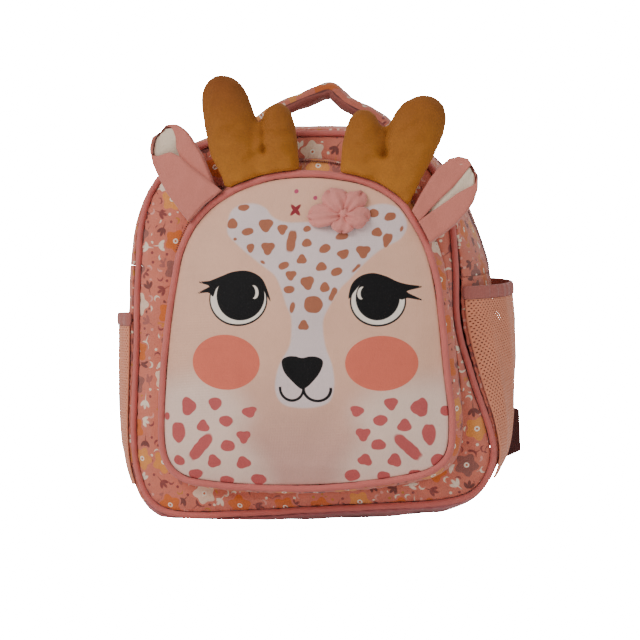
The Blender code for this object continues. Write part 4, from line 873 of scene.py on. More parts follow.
def outline_distance(across, up, outline):
    """Signed distance in mm to a smooth closed outline: to its nearest side, negative inside,
    where inside means that a level ray crosses the outline an odd number of times."""
    loop = smooth_loop(outline, 6)
    nearest = np.full(across.shape, 1e9)
    crossings = np.zeros(across.shape, dtype=int)
    for (ax, az), (bx, bz) in zip(loop, np.roll(loop, -1, axis=0)):
        run = np.array([bx - ax, bz - az])
        t = np.clip(((across - ax) * run[0] + (up - az) * run[1]) / max(np.dot(run, run), 1e-9), 0.0, 1.0)
        nearest = np.minimum(nearest, np.hypot(across - ax - t * run[0], up - az - t * run[1]))
        spans = (az > up) != (bz > up)
        reach = ax + (up - az) * run[0] / (run[1] if abs(run[1]) > 1e-9 else 1e-9)
        crossings = crossings + (spans & (across < reach))
    return np.where(crossings % 2 == 1, -nearest, nearest)


def pebbles(across, up, rows):
    """Distance in mm past the nearest pebble's edge: in its own unit circle each pebble has the
    radius 1 - corners * sin(3 * angle), which is an oval, or an oval with three blunt corners.
    The long ones are beans: their ends are squared off by a higher power."""
    nearest = np.full(across.shape, 1e9)
    for x, z, half_width, half_height, turn, corners in rows:
        cos, sin = math.cos(math.radians(turn)), math.sin(math.radians(turn))
        own_x = ((across - x) * cos + (up - z) * sin) / half_width
        own_z = ((up - z) * cos - (across - x) * sin) / half_height
        power = 3.2 if max(half_width, half_height) > 2.2 * min(half_width, half_height) else 2.0
        reach = (np.abs(own_x) ** power + np.abs(own_z) ** power) ** (1.0 / power)
        edge_radius = 1.0 - corners * np.sin(3.0 * np.arctan2(own_z, own_x))
        past = (reach - edge_radius) * min(half_width, half_height)
        nearest = np.minimum(nearest, past)
    return nearest


shares = np.arange(480) / 480
edge = at_shares(POCKET, shares) - (POCKET_PIPING + GAP) * outward(POCKET, shares)
ring_share = np.linspace(0.012, 1.0, 118)
plane = POCKET_HUB + (edge - POCKET_HUB) * ring_share[:, None, None]
face_y = POCKET_Y - POCKET_CROWN * (1.0 - ring_share ** 2.4)
sections = place_loop(plane, face_y[:, None])
lumps = folds(plane[..., 0] * 1000, plane[..., 1] * 1000, FACE_FOLDS) * 0.001
calm = (1.0 - ring_share ** 10)[:, None]
pucker = 0.00045 * puckers(shares, POCKET_LENGTH, 0.012) * np.exp(-(1.0 - ring_share) * 22.0)[:, None]
sections[..., 1] -= (lumps + 0.0005 * unevenness(sections, 0.05, 21)) * calm + pucker * calm
behind = sections[::-1][[0, 30, 60, 90, 117]] + np.array([0.0, CLOTH, 0.0])
sections = np.concatenate([sections, behind])
cloth_mm = sections[..., [0, 2, 1]] * 1000
flat_x, flat_z = cloth_mm[..., 0], cloth_mm[..., 1]
blaze, nose, left_flank, right_flank, left_lid, right_lid = (
    outline_distance(flat_x, flat_z, rows)
    for rows in (BLAZE, NOSE, LEFT_FLANK, RIGHT_FLANK, LEFT_LID, RIGHT_LID))
wander = 0.35 * unevenness(sections, 0.007, 23)
pocket_face = skin("pocket_face_cloth", sections, {
    "cloth_mm": cloth_mm, "blaze_mm": blaze, "flank_mm": np.minimum(left_flank, right_flank),
    "brow_mm": pebbles(flat_x, flat_z, BROW_SPOTS) + wander,
    "side_mm": pebbles(flat_x, flat_z, FLANK_SPOTS) + wander,
    "nose_mm": nose, "lids_mm": np.minimum(left_lid, right_lid)})
print("face points:", len(pocket_face.data.vertices))

# %% Pocket face, the print
face_print, tree, shader = start_material("face_printed_polyester", 0.70, 0.03)
shader.inputs["Specular IOR Level"].default_value = 0.2
cloth = stored(tree, "cloth_mm", "Vector")
flat = add(tree, "VectorMath", {0: cloth, 1: (1.0, 1.0, 0.0)}, operation="MULTIPLY").outputs[0]
# painted shade: the face ground goes from #cc9f92 at 40 mm up to #e4b297 at 130 mm, darker towards the chin
height = add(tree, "SeparateXYZ", {"Vector": flat}).outputs["Y"]
low = add(tree, "MapRange", {"Value": height, "From Min": 40.0, "From Max": 130.0}).outputs["Result"]
colour = paint(tree, linear("#cc9f92"), linear("#e4b297"), low)
on_blaze = inside(tree, stored(tree, "blaze_mm"), 0.0, 1.0)
on_flank = inside(tree, stored(tree, "flank_mm"), 2.0, 14.0)
colour = paint(tree, colour, linear("#dcc8c6"), on_blaze)
colour = paint(tree, colour, linear("#e8c9b8"), on_flank)
for key, hex_colour in (("brow_mm", "#a4644a"), ("side_mm", "#bc5a58")):
    colour = paint(tree, colour, linear(hex_colour), inside(tree, stored(tree, key), 0.0, 0.4))

CHEEK, INK, WHITE, RED = "#da6d58", "#0d0b0d", "#efe2d4", "#8c2c34"
FACE_SHAPES = (
    # colour, middle across and up, half width and height in mm, turn in degrees
    (CHEEK, (-49.5, 126.0), (27.0, 20.5), 0.0), (CHEEK, (67.5, 126.5), (26.3, 20.2), 0.0),
    (INK, (-40.0, 172.4), (23.2, 19.3), 0.0), (WHITE, (-40.0, 172.8), (22.1, 18.3), 0.0),
    (INK, (64.6, 171.8), (20.2, 18.4), 0.0), (WHITE, (64.6, 172.2), (19.1, 17.4), 0.0),
    (INK, (-38.0, 175.2), (19.0, 17.9), 0.0), (INK, (64.4, 174.6), (15.8, 16.6), 0.0),
    (WHITE, (-27.2, 178.4), (3.4, 5.0), 10.0), (INK, (-30.0, 178.6), (3.9, 5.4), 10.0),
    (WHITE, (52.9, 178.0), (3.0, 4.6), -10.0), (INK, (55.6, 178.2), (3.5, 5.0), -10.0),
    (RED, (2.0, 239.0), (5.4, 1.6), 48.0), (RED, (2.0, 239.0), (5.4, 1.6), -48.0),
    ("#b8506a", (1.8, 253.0), (1.7, 1.7), 0.0), ("#b8506a", (16.3, 248.0), (1.6, 1.6), 0.0),
)
for hex_colour, centre, halves, turn in FACE_SHAPES:
    colour = paint(tree, colour, linear(hex_colour), oval(tree, flat, centre, halves, turn, 0.3))
for key in ("nose_mm", "lids_mm"):
    colour = paint(tree, colour, linear(INK), inside(tree, stored(tree, key), 0.0, 0.3))
for centre, halves in (((1.4, 107.6), (8.7, 9.1)), ((20.4, 107.4), (10.2, 9.0))):
    own = add(tree, "Mapping", {"Vector": flat, "Location": (*centre, 0.0), "Scale": (*halves, 1.0)},
              vector_type="TEXTURE").outputs[0]
    reach = add(tree, "VectorMath", {0: own}, operation="LENGTH").outputs["Value"]
    off = calc(tree, "ABSOLUTE", calc(tree, "SUBTRACT", reach, 1.0))
    below = add(tree, "SeparateXYZ", {"Vector": own}).outputs["Y"]
    line = calc(tree, "MULTIPLY", inside(tree, off, 0.11, 0.035), inside(tree, below, 0.12, 0.06))
    colour = paint(tree, colour, linear(INK), line)
woven(tree, shader, colour, cloth, (0.95, 1.04), 1.2, 0.30)
sew_in(pocket_face, face_print, "face_print", "pocket_face")

# %% [markdown]
# The antlers are stuffed toys sewn into the pocket's top seam: brushed mustard microfibre,
# blown out by wadding and held along the seam. That is what a cloth simulation under pressure
# gives, so each solid is turned into an even net, pinned along its root, and blown up.


# %% Stuffed pieces
def solid_copy(name, node, flat_angle=0.0):
    """A copy of a solid with its loose faces merged, and its flat ones joined up to an angle."""
    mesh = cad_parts[node].data.copy()
    mesh.name = name
    mesh.materials.clear()
    net = bmesh.new()
    net.from_mesh(mesh)
    bmesh.ops.remove_doubles(net, verts=net.verts, dist=0.00001)
    if flat_angle:
        bmesh.ops.dissolve_limit(net, angle_limit=flat_angle, verts=net.verts, edges=net.edges)
    net.to_mesh(mesh)
    net.free()
    made = bpy.data.objects.new(name, mesh)
    bpy.context.scene.collection.objects.link(made)
    return made


def even_net(name, node, voxel):
    """A copy of a solid as an even net of small squares."""
    made = solid_copy(name, node)
    squares = made.modifiers.new("squares", "REMESH")
    squares.mode = "VOXEL"
    squares.voxel_size = voxel
    return freeze(made)


def freeze(piece):
    """Makes what a piece's modifiers show its own mesh, and takes the modifiers off."""
    seen = piece.evaluated_get(bpy.context.evaluated_depsgraph_get())
    mesh = bpy.data.meshes.new_from_object(seen)
    mesh.name = piece.name
    piece.modifiers.clear()
    piece.data = mesh
    return piece


def places(mesh):
    """All points of a mesh as rows of X, Y and Z."""
    flat = np.zeros(len(mesh.vertices) * 3)
    mesh.vertices.foreach_get("co", flat)
    return flat.reshape(-1, 3)


def blow_up(piece, held, pressure, steps, cap):
    """Cloth under pressure: points move to where the simulation takes them, at most the cap."""
    before = places(piece.data)
    pins = piece.vertex_groups.new(name="held")
    pins.add(np.flatnonzero(held).tolist(), 1.0, "REPLACE")
    cloth = piece.modifiers.new("stuffing", "CLOTH")
    cloth.settings.use_pressure = True
    cloth.settings.uniform_pressure_force = pressure
    cloth.settings.vertex_group_mass = "held"
    cloth.settings.quality = 6
    cloth.settings.tension_stiffness = 12.0
    cloth.settings.compression_stiffness = 12.0
    cloth.settings.bending_stiffness = 0.4
    cloth.settings.effector_weights.gravity = 0.0
    cloth.collision_settings.use_collision = False
    for step in range(1, steps + 1):
        bpy.context.scene.frame_set(step)
    freeze(piece)
    bpy.context.scene.frame_set(1)
    move = places(piece.data) - before
    reach = np.linalg.norm(move, axis=1, keepdims=True)
    after = before + move * np.minimum(1.0, cap / np.maximum(reach, 1e-9))
    piece.data.vertices.foreach_set("co", after.ravel())
    piece.data.update()
    return piece


def finer(piece):
    """One more level of smooth subdivision, made the piece's own mesh."""
    smooth = piece.modifiers.new("finer", "SUBSURF")
    smooth.levels = 1
    freeze(piece)
    piece.data.polygons.foreach_set("use_smooth", np.ones(len(piece.data.polygons), dtype=bool))
    return piece


ANTLER_CREASES = {
    # side: rows of from x, from z, to x, to z, width, height, in mm
    "left": (
        (-23, 305, -22, 283, 2.8, -4.4), (-22, 284, -34, 276, 3.6, -1.3), (-22, 284, -11, 275, 3.6, -1.3),
        (-21, 296, -2, 293, 2.2, -1.1), (-20, 301, -4, 300, 2.2, 0.8), (-46, 298, -28, 291, 3.0, -1.0),
        (-66, 328, -48, 334, 4.0, -0.7), (-44, 288, -30, 282, 3.4, 0.9), (-16, 288, -2, 278, 4.0, 0.8),
        (-60, 300, -46, 304, 3.4, 0.7),
    ),
    "right": (
        (70, 298, 69, 279, 2.8, -4.4), (69, 280, 57, 275, 3.6, -1.4), (69, 280, 82, 272, 3.6, -1.1),
        (46, 299, 64, 294, 2.4, -1.1), (48, 290, 64, 286, 2.4, 0.9), (40, 270, 66, 262, 3.0, 0.8),
        (74, 290, 92, 300, 3.2, -0.9), (88, 314, 104, 306, 4.0, -0.7), (76, 268, 92, 262, 3.4, 0.7),
    ),
}

felt, tree, shader = start_material("brushed_mustard_microfibre", 0.92, 0.30)
shader.inputs["Sheen Tint"].default_value = linear("#c98a34")
spot = add(tree, "TexCoord").outputs["Object"]
nap = add(tree, "TexNoise", {
    "Vector": spot, "Scale": 55.0, "Detail": 6.0, "Roughness": 0.65, "Distortion": 0.6}).outputs["Fac"]
brushed = add(tree, "TexNoise", {
    "Vector": spot, "Scale": 1500.0, "Detail": 3.0, "Roughness": 0.7}).outputs["Fac"]
tone = ramp(tree, nap, ((0.25, "#a0611a"), (0.75, "#ad6d1e")))
fleck = add(tree, "MapRange", {"Value": brushed, "To Min": 0.86, "To Max": 1.12})
grey = add(tree, "CombineColor", {key: fleck.outputs[0] for key in ("Red", "Green", "Blue")})
# painted shade: the antlers' colour is multiplied by #c2aa9b towards their tops, from none of it at 262 mm up
# to all of it at 335 mm
up = add(tree, "SeparateXYZ", {"Vector": spot}).outputs["Z"]
top_shade_share = add(tree, "MapRange", {"Value": up, "From Min": 0.262, "From Max": 0.335}).outputs["Result"]
painted_top_shade = paint(tree, linear("#ffffff"), linear("#c2aa9b"), top_shade_share)
for factor in (grey.outputs[0], painted_top_shade):
    mixed = add(tree, "Mix", {"Factor": 1.0, "A": tone, "B": factor}, data_type="RGBA", blend_type="MULTIPLY")
    tone = mixed.outputs["Result"]
tree.links.new(tone, shader.inputs["Base Color"])
fuzz = calc(tree, "ADD", brushed, nap)
relief = add(tree, "Bump", {"Height": fuzz, "Strength": 0.35, "Distance": 0.0008})
tree.links.new(relief.outputs["Normal"], shader.inputs["Normal"])

FELT_NET = 0.003
ROOT_DEPTH = 0.0052
ROOT_REACH = 0.125
SEAM_HUB = (POCKET_SHIFT, 0.148)
for side in ("left", "right"):
    antler = even_net("antler_%s_stuffed" % side, "antler_" + side, FELT_NET)
    seat = places(antler.data)
    near = np.hypot(seat[:, 0] - SEAM_HUB[0], seat[:, 2] - SEAM_HUB[1])
    at_root = (np.abs(seat[:, 1] - POCKET_Y) < ROOT_DEPTH) & (near < ROOT_REACH)
    blow_up(antler, at_root, 3.0, 14, 0.004)
    finer(antler)
    points = places(antler.data)
    facing = np.clip(-(points[:, 1] - POCKET_Y) / 0.006, -1.0, 1.0)
    crease = folds(points[:, 0] * 1000, points[:, 2] * 1000, ANTLER_CREASES[side]) * 0.001
    points[:, 1] -= crease * facing
    points[:, 1] -= 0.0005 * unevenness(points, 0.014, 31) * facing
    antler.data.vertices.foreach_set("co", points.ravel())
    antler.data.update()
    sew_in(antler, felt, "mustard_felt", "antler_" + side)

# %% [markdown]
# An ear is a leaf of pink cloth with a cream lining, its two sides folded over its front and
# sewn in at the foot. It is drawn row by row along its length: across a row the cloth runs
# from one flap's free edge, round the fold, over the back and round to the other flap.


# %% Ears
EAR_HALF = 0.019
EAR_FOLD = 0.009
EAR_CLOTH = 0.0016
EAR_CLEARANCE = POCKET_PIPING + 2.0 * GAP
LINING_CLOTH = 0.0012
EARS = {
    "left": dict(seat=0.101, lean=math.radians(-30.0), length=0.066, front=1.0, opens=0.70, rows=(
        # along, half width, left flap, right flap, in half widths
        (0.00, 0.78, 1.80, 0.66), (0.22, 0.90, 1.62, 0.74), (0.45, 1.00, 1.40, 0.80),
        (0.60, 0.99, 1.24, 0.78), (0.72, 0.96, 0.96, 0.70), (0.80, 0.92, 0.40, 0.50),
        (0.88, 0.82, 0.05, 0.34), (0.94, 0.70, 0.04, 0.22), (1.00, 0.38, 0.03, 0.08))),
    "right": dict(seat=-0.133, lean=math.radians(41.0), length=0.057, front=-1.0, opens=0.10, rows=(
        (0.00, 0.72, 0.56, 0.92), (0.22, 0.88, 0.70, 0.96), (0.45, 1.00, 0.86, 0.90),
        (0.64, 1.02, 0.94, 0.80), (0.80, 0.94, 0.86, 0.56), (0.92, 0.72, 0.60, 0.20),
        (1.00, 0.38, 0.26, 0.04))),
}


def row_line(half, left, right, depth, front):
    """One row of a folded ear as 41 places across and forward, between the two flap edges.
    Flaps lie at the fold's full depth, and the one in front a cloth's thickness further."""
    near_left = depth + (EAR_CLOTH * 1.3 if front > 0 else 0.0)
    near_right = depth + (EAR_CLOTH * 1.3 if front < 0 else 0.0)
    turn = np.linspace(0.0, math.pi, 9)
    bend = 0.2 * depth
    flat = half - bend
    left_flap = np.stack([np.linspace(left - half, -flat, 10), np.full(10, near_left)], -1)
    left_bend = np.stack([-flat - bend * np.sin(turn), 0.5 * near_left * (1 + np.cos(turn))], -1)
    back = np.stack([np.linspace(-flat, flat, 12)[1:-1], np.zeros(10)], -1)
    right_bend = np.stack([flat + bend * np.sin(turn), 0.5 * near_right * (1 - np.cos(turn))], -1)
    right_flap = np.stack([np.linspace(flat, half - right, 10), np.full(10, near_right)], -1)
    return np.vstack([left_flap, left_bend[1:], back, right_bend, right_flap[1:]])


ear_pink = cloth_finish("ear_pink_polyester", "#c97464", 1.3, strength=0.35, roughness=0.8, sheen=0.25)
for side, ear in EARS.items():
    table = np.array(ear["rows"])
    along = np.linspace(0.0, 1.0, 46)
    half = np.interp(along, table[:, 0], table[:, 1]) * EAR_HALF
    left = np.interp(along, table[:, 0], table[:, 2]) * EAR_HALF
    right = np.interp(along, table[:, 0], table[:, 3]) * EAR_HALF
    open_tip = 0.4 * np.clip((along - ear["opens"]) / 0.14, 0.0, 1.0)
    depth = EAR_FOLD * (1.0 - 0.3 * along) * (1.0 - 0.3 * open_tip)
    lines = np.stack([row_line(h, l, r, d, ear["front"]) for h, l, r, d in zip(half, left, right, depth)])
    tip = np.array([math.sin(ear["lean"]), math.cos(ear["lean"])])
    foot_share = ear["seat"] - lines[..., 0] / POCKET_LENGTH
    foot = at_shares(POCKET, foot_share) + EAR_CLEARANCE * outward(POCKET, foot_share)
    plane = foot + (along * ear["length"])[:, None, None] * tip
    back_y = POCKET_Y + 0.5 * EAR_FOLD
    outer = place_loop(plane, back_y - lines[..., 1])
    outer[..., 1] -= 0.0005 * unevenness(outer, 0.02, 41) * np.clip(along * 6.0, 0.0, 1.0)[:, None]
    chord = np.gradient(outer, axis=1)
    rise = np.gradient(outer, axis=0)
    normal = np.cross(chord, rise)
    normal = normal / np.maximum(np.linalg.norm(normal, axis=-1, keepdims=True), 1e-12)
    core = np.array([plane[20, 20, 0], back_y - 0.4 * EAR_FOLD, plane[20, 20, 1]])
    if np.einsum("ijk,ijk->ij", normal, outer - core).mean() < 0.0:
        normal = -normal
    inner = outer - EAR_CLOTH * normal
    loops = np.concatenate([outer, inner[:, ::-1]], axis=1)
    run = np.concatenate([lines[..., 0] + lines[..., 1], (lines[..., 0] + lines[..., 1])[:, ::-1]], 1) * 1000
    long_mm = np.broadcast_to((along * ear["length"] * 1000)[:, None], run.shape)
    cloth_mm = np.stack([run, long_mm, np.zeros_like(run)], -1)
    piece = skin("ear_%s_cloth" % side, loops, {"cloth_mm": cloth_mm})
    sew_in(piece, ear_pink, "ear_cloth", "ear_" + side)

    across = np.linspace(-1.0, 1.0, 15)
    inner_half = (half - EAR_CLOTH * (1.6 - 1.3 * open_tip))[:, None] * across[None, :]
    foot_share = ear["seat"] - inner_half / POCKET_LENGTH
    foot = at_shares(POCKET, foot_share) + EAR_CLEARANCE * outward(POCKET, foot_share)
    plane = foot + (along * (ear["length"] - 1.5 * EAR_CLOTH))[:, None, None] * tip
    lining_y = (back_y - EAR_CLOTH - GAP - (depth - 0.0006) * open_tip)[:, None]
    front_face = place_loop(plane, lining_y - LINING_CLOTH - 0.0004 * np.cos(across * 9.0)[None, :])
    back_face = place_loop(plane[:, ::-1], lining_y)
    loops = np.concatenate([front_face, back_face], axis=1)
    cloth_mm = loops[..., [0, 2, 1]] * 1000
    piece = skin("ear_%s_lining" % side, loops, {"cloth_mm": cloth_mm})
    sew_in(piece, cream_cloth, "cream_lining", "ear_lining_" + side)

# %% [markdown]
# The back lies against a child, so it is foam between two plain cloths, quilted with a hollow
# down its middle and two seams across. Its skin is the back seam's shape with a low crown,
# pressed in along those lines: folds with a negative height.

# %% Back panel
BACK_CROWN = 0.004
BACK_PADDING = 0.008
QUILTING = (
    # from x, from z, to x, to z, width, height, in mm
    (0, 30, 0, 268, 8.0, -3.2), (-110, 108, -12, 108, 3.0, -2.2), (12, 108, 110, 108, 3.0, -2.2),
    (-100, 190, -12, 190, 3.0, -2.2), (12, 190, 100, 190, 3.0, -2.2),
)
shares = np.arange(300) / 300
edge = at_shares(BACK, shares)[:, :2] - (PIPING + GAP) * outward(BACK, shares)
middle = edge.mean(axis=0)
ring_share = np.linspace(0.012, 1.0, 70)
plane = middle + (edge - middle) * ring_share[:, None, None]
crown = BACK_CROWN * np.clip(1.0 - ring_share ** 6, 0.0, 1.0)
sections = place_loop(plane, (BACK_Y + crown)[:, None])
calm = (1.0 - ring_share ** 12)[:, None]
sections[..., 1] += folds(plane[..., 0] * 1000, plane[..., 1] * 1000, QUILTING) * 0.001 * calm
sections[..., 1] += (0.0006 * unevenness(sections, 0.04, 61) + 0.0010) * calm
pucker = 0.0005 * puckers(shares, FRONT_LENGTH, 0.011) * np.exp(-(1.0 - ring_share) * 20.0)[:, None]
sections[..., 1] += pucker * calm
behind = sections[::-1][[0, 14, 34, 54, 69]].copy()
behind[..., 1] = BACK_Y - (BACK_PADDING - 0.002) * np.array([0.1, 0.6, 0.8, 0.8, 0.8])[:, None]
sections = np.concatenate([sections, behind])
back_panel = skin("back_panel_padded", sections, {"cloth_mm": sections[..., [0, 2, 1]] * 1000})
sew_in(back_panel, plain_pink, "back_cloth", "back_panel")

# %% [markdown]
# Handle, straps, webbing and tabs are one kind of thing: a flat section carried along a smooth
# line. The section is a superellipse, |x / a| ** n + |y / b| ** n = 1, whose n says how square
# its edges are: 2 for stuffing, about 5 for webbing. Stitches are a groove near both edges.


# %% Carried bands
def round_section(count, power=1.0):
    """Across and up, -1 to 1, round a superellipse: signed powers of a cosine and a sine."""
    turns = (np.arange(count) + 0.5) * math.tau / count
    across = np.sign(np.cos(turns)) * np.abs(np.cos(turns)) ** power
    return across, np.sign(np.sin(turns)) * np.abs(np.sin(turns)) ** power


def smooth_path(rows, steps):
    """An open smooth curve through the rows; the ends go on straight."""
    knots = np.asarray(rows, dtype=float)
    knots = np.vstack([2.0 * knots[0] - knots[1], knots, 2.0 * knots[-1] - knots[-2]])
    dense = spans(knots[:-3, None], knots[1:-2, None], knots[2:-1, None], knots[3:, None], steps)
    return np.vstack([dense, knots[-2:-1]])


def unit(vectors):
    """Vectors divided by their lengths."""
    return vectors / np.maximum(np.linalg.norm(vectors, axis=-1, keepdims=True), 1e-12)


def carried(name, line, wide, halves, square, lift=None, count=44):
    """A band: line + a * half width * wide + b * half thickness * thick, round the section."""
    thick = unit(np.cross(wide, unit(np.gradient(line, axis=0))))
    a, b = round_section(count, 2.0 / square)
    run = np.concatenate([[0.0], np.cumsum(np.linalg.norm(np.diff(line, axis=0), axis=1))]) * 1000
    half_thick = halves[:, 1:2] * b[None, :]
    if lift is not None:
        half_thick = half_thick + np.sign(b)[None, :] * lift(a[None, :], b[None, :], run[:, None])
    points = line[:, None, :] + (halves[:, :1] * a[None, :])[..., None] * wide[:, None, :]
    points = points + half_thick[..., None] * thick[:, None, :]
    across = halves[:, :1] * a[None, :] * 1000
    cloth_mm = np.stack([across, run[:, None] + 0.0 * across, b[None, :] + 0.0 * across], -1)
    return skin(name, points, {"cloth_mm": cloth_mm, "top_side": b[None, :] + 0.0 * across})


# %% Carry handle
HANDLE_LINE = (
    # across in half spans of 58 mm, up in rises of 34 mm
    (-1.00, -0.02), (-0.96, 0.16), (-0.78, 0.37), (-0.45, 0.65), (-0.10, 0.88), (0.14, 1.00),
    (0.27, 0.84), (0.42, 0.64), (0.84, 0.27), (0.95, 0.12), (0.98, -0.02),
)
HANDLE_Y = 0.034
HANDLE_SPAN = 0.058
HANDLE_RISE = 0.034
path = smooth_path(HANDLE_LINE, 12)
crest = strip_point(np.zeros(1), np.array([HANDLE_Y / (DEPTH / 2.0)]))[0, 2]
line = path * (HANDLE_SPAN, HANDLE_RISE) + (0.0, crest)
line = place_loop(line, HANDLE_Y)
line[:, 2] = line[:, 2] - np.abs(path[:, 0]) ** 8 * 0.003
to_end = np.minimum(np.arange(len(line)), np.arange(len(line))[::-1]) / 14.0
sewn_flat = 0.55 + 0.45 * np.clip(to_end, 0.0, 1.0)
halves = np.stack([np.full(len(line), 0.0102), 0.0064 * sewn_flat], -1)


def handle_wrinkles(a, b, run):
    """Cross wrinkles, deeper inside the kink where the padding buckles."""
    kink = np.exp(-((run - 0.55 * run.max()) / 11.0) ** 2)
    wrinkle = np.sin(run / 2.3 + 0.8 * a) * np.where(b < 0.3, 0.0007, 0.0002) * kink
    return wrinkle + 0.0004 * np.sin(run / 6.1 + 2.0 * a + 1.4 * b) + 0.0002 * np.sin(run / 2.9 - 3.0 * a)


handle = carried("carry_handle_padded", line, np.tile([0.0, -1.0, 0.0], (len(line), 1)), halves, 2.6,
                 handle_wrinkles)
handle_cloth, tree, shader = start_material("handle_print_over_plain", 0.78, 0.25)
cloth = stored(tree, "cloth_mm", "Vector")
top_side = stored(tree, "top_side")
turned = add(tree, "Mapping", {"Vector": cloth, "Location": (40.0, 25.0, 0.0)}).outputs[0]
colour = paint(tree, ditsy_colour(tree, turned), linear("#a4584e"), inside(tree, top_side, -0.05, 0.04))
seam_off = calc(tree, "ABSOLUTE", calc(tree, "ADD", top_side, 0.05))
colour = paint(tree, colour, linear("#6e3531"), inside(tree, seam_off, 0.07, 0.04))
woven(tree, shader, colour, cloth, (0.68, 0.82))
sew_in(handle, handle_cloth, "handle_cloth", "carry_handle")

# %% [markdown]
# The straps hang behind the bag. Each is foam in plain cloth, arched, with a stitched edge. Its
# webbing goes from a two-slot lock to a tab in the back seam, whose dark end shows at the
# right of the picture.

# %% Straps, locks, webbing and tabs
STRAP_ROWS = (
    # along, across, arch, width, thickness, as shares
    (0.00, 0.00, 0.00, 0.62, 0.45), (0.08, 0.02, 0.20, 0.80, 0.90), (0.25, 0.10, 0.68, 1.00, 1.00),
    (0.50, 0.32, 1.00, 1.00, 1.00), (0.75, 0.64, 0.85, 0.92, 1.00), (0.92, 0.88, 0.55, 0.74, 0.85),
    (1.00, 1.00, 0.42, 0.56, 0.50),
)
TAB_REACH = 0.018
TAB_UP = 0.200  # in body heights
STRAP_TOP = (0.038, 0.913)  # across in metres, up in heights
STRAP_SPREAD, STRAP_DROP, STRAP_ARCH = 0.048, 0.524, 0.034
STRAP_HALVES = (0.028, 0.005)
WEBBING_HALVES = (0.0125, 0.0010)
LOCK_LENGTH = 0.026
TAB_HALVES = (0.023, 0.0015)
lock_plastic = moulded("moulded_maroon_acetal", 0.38, 0.1, 700.0, 3.0, "#3a1716", "#45201e", 0.15)


def eased(name, node, radius):
    """A moulded piece: the solid's own shape with its edges rounded off."""
    made = solid_copy(name, node, 0.02)
    soft = made.modifiers.new("eased", "BEVEL")
    soft.width = radius
    soft.segments = 3
    soft.limit_method = "ANGLE"
    soft.angle_limit = math.radians(40.0)
    freeze(made)
    made.data.shade_smooth()
    made.data.set_sharp_from_angle(angle=math.radians(35.0))
    return made


def strap_stitching(a, b, run):
    """A groove along both edges, and the foam's faint waves between."""
    groove = -0.0010 * np.exp(-((np.abs(a) - 0.86) / 0.035) ** 2)
    return groove + 0.00035 * np.sin(run / 9.0) * np.cos(a * 5.0)


def share_at_height(height, side):
    """Share of the front seam where its left (-1) or right (+1) side is at the height."""
    tried = np.linspace(0.06, 0.42, 200)
    heights = at_shares(FRONT, -side * tried)[:, 1]
    return -side * float(np.interp(-height, -heights, tried))


for name, side in (("left", -1.0), ("right", 1.0)):
    table = np.array(STRAP_ROWS)
    knots = np.stack([
        side * (STRAP_TOP[0] + STRAP_SPREAD * table[:, 1]),
        BACK_Y + BACK_CROWN + 2.0 * GAP + STRAP_HALVES[1] * table[:, 4] + STRAP_ARCH * table[:, 2],
        HEIGHT * (STRAP_TOP[1] - STRAP_DROP * table[:, 0])], -1)
    dense = smooth_path(np.hstack([knots, table[:, 3:]]), 16)
    line = dense[:, :3]
    wide = unit(np.cross(np.gradient(line, axis=0), np.array([0.0, 1.0, 0.0])))
    halves = dense[:, 3:] * STRAP_HALVES
    strap = carried("strap_%s_padded" % name, line, wide, halves, 3.2, strap_stitching, 56)
    sew_in(strap, plain_pink, "strap_cloth", "strap_" + name)

    lock = eased("ladder_lock_%s_moulded" % name, "ladder_lock_" + name, 0.0007)
    sew_in(lock, lock_plastic, "lock_plastic", "ladder_lock_" + name)

    share = np.array([share_at_height(TAB_UP * HEIGHT, side)])
    root = at_shares(BACK, share)[0, :2]
    out = outward(BACK, share)[0]
    upward = np.array([-out[1], out[0]])
    reach = np.linspace(0.0, 1.0, 16)
    tab_plane = root + out * (PIPING + GAP + TAB_REACH * reach)[:, None]
    tab_line = place_loop(tab_plane, np.full(16, BACK_Y))
    tab_wide = np.tile([upward[0], 0.0, upward[1]], (16, 1))
    narrowing = np.interp(reach, [0.0, 0.5, 1.0], [1.0, 0.9, 0.72])
    tab_halves = np.stack([TAB_HALVES[0] * narrowing, np.full(16, TAB_HALVES[1])], -1)
    tab = carried("wing_tab_%s_cloth" % name, tab_line, tab_wide, tab_halves, 5.0)
    sew_in(tab, maroon_webbing, "webbing", "wing_tab_" + name)

    down = knots[-1] - knots[-2]
    down = down / np.linalg.norm(down)
    start = knots[-1] + down * (LOCK_LENGTH + 2.0 * GAP)
    below = start + down * 0.0125
    tab_y = BACK_Y + 0.0025 + GAP
    on_tab = root + out * TAB_REACH * 0.65
    tab_end = root + out * (PIPING + GAP + TAB_REACH * 0.9)
    at_tab = np.array([on_tab[0], tab_y, on_tab[1]])
    over = np.array([root[0], BACK_Y + PIPING + 0.005, root[1]])
    over = over + 0.12 * (below - at_tab) * np.array([1.0, 0.0, 1.0])
    line = smooth_path([start, below, 0.5 * (below + over), over, at_tab,
                        np.array([tab_end[0], tab_y, tab_end[1]])], 14)
    wide = unit(np.cross(np.gradient(line, axis=0), np.array([0.0, 1.0, 0.0])))
    halves = np.tile(WEBBING_HALVES, (len(line), 1))
    webbing = carried("webbing_%s_woven" % name, line, wide, halves, 5.0)
    sew_in(webbing, maroon_webbing, "webbing", "webbing_" + name)

slider = eased("zip_slider_cast", "zip_slider", 0.0006)
sew_in(slider, coil_plastic, "zip_plastic", "zip_slider")

# %% [markdown]
# The side pockets are warp-knitted air mesh: rows of small holes, each row moved on by half a
# hole. It is cut as real holes, so the print behind shows through. A row is a line of cells;
# each cell is a six-cornered outline with a six-sided hole, joined by a ring of six faces. The
# net is flat at first and is then laid on the pocket's surface, point by point, at once.

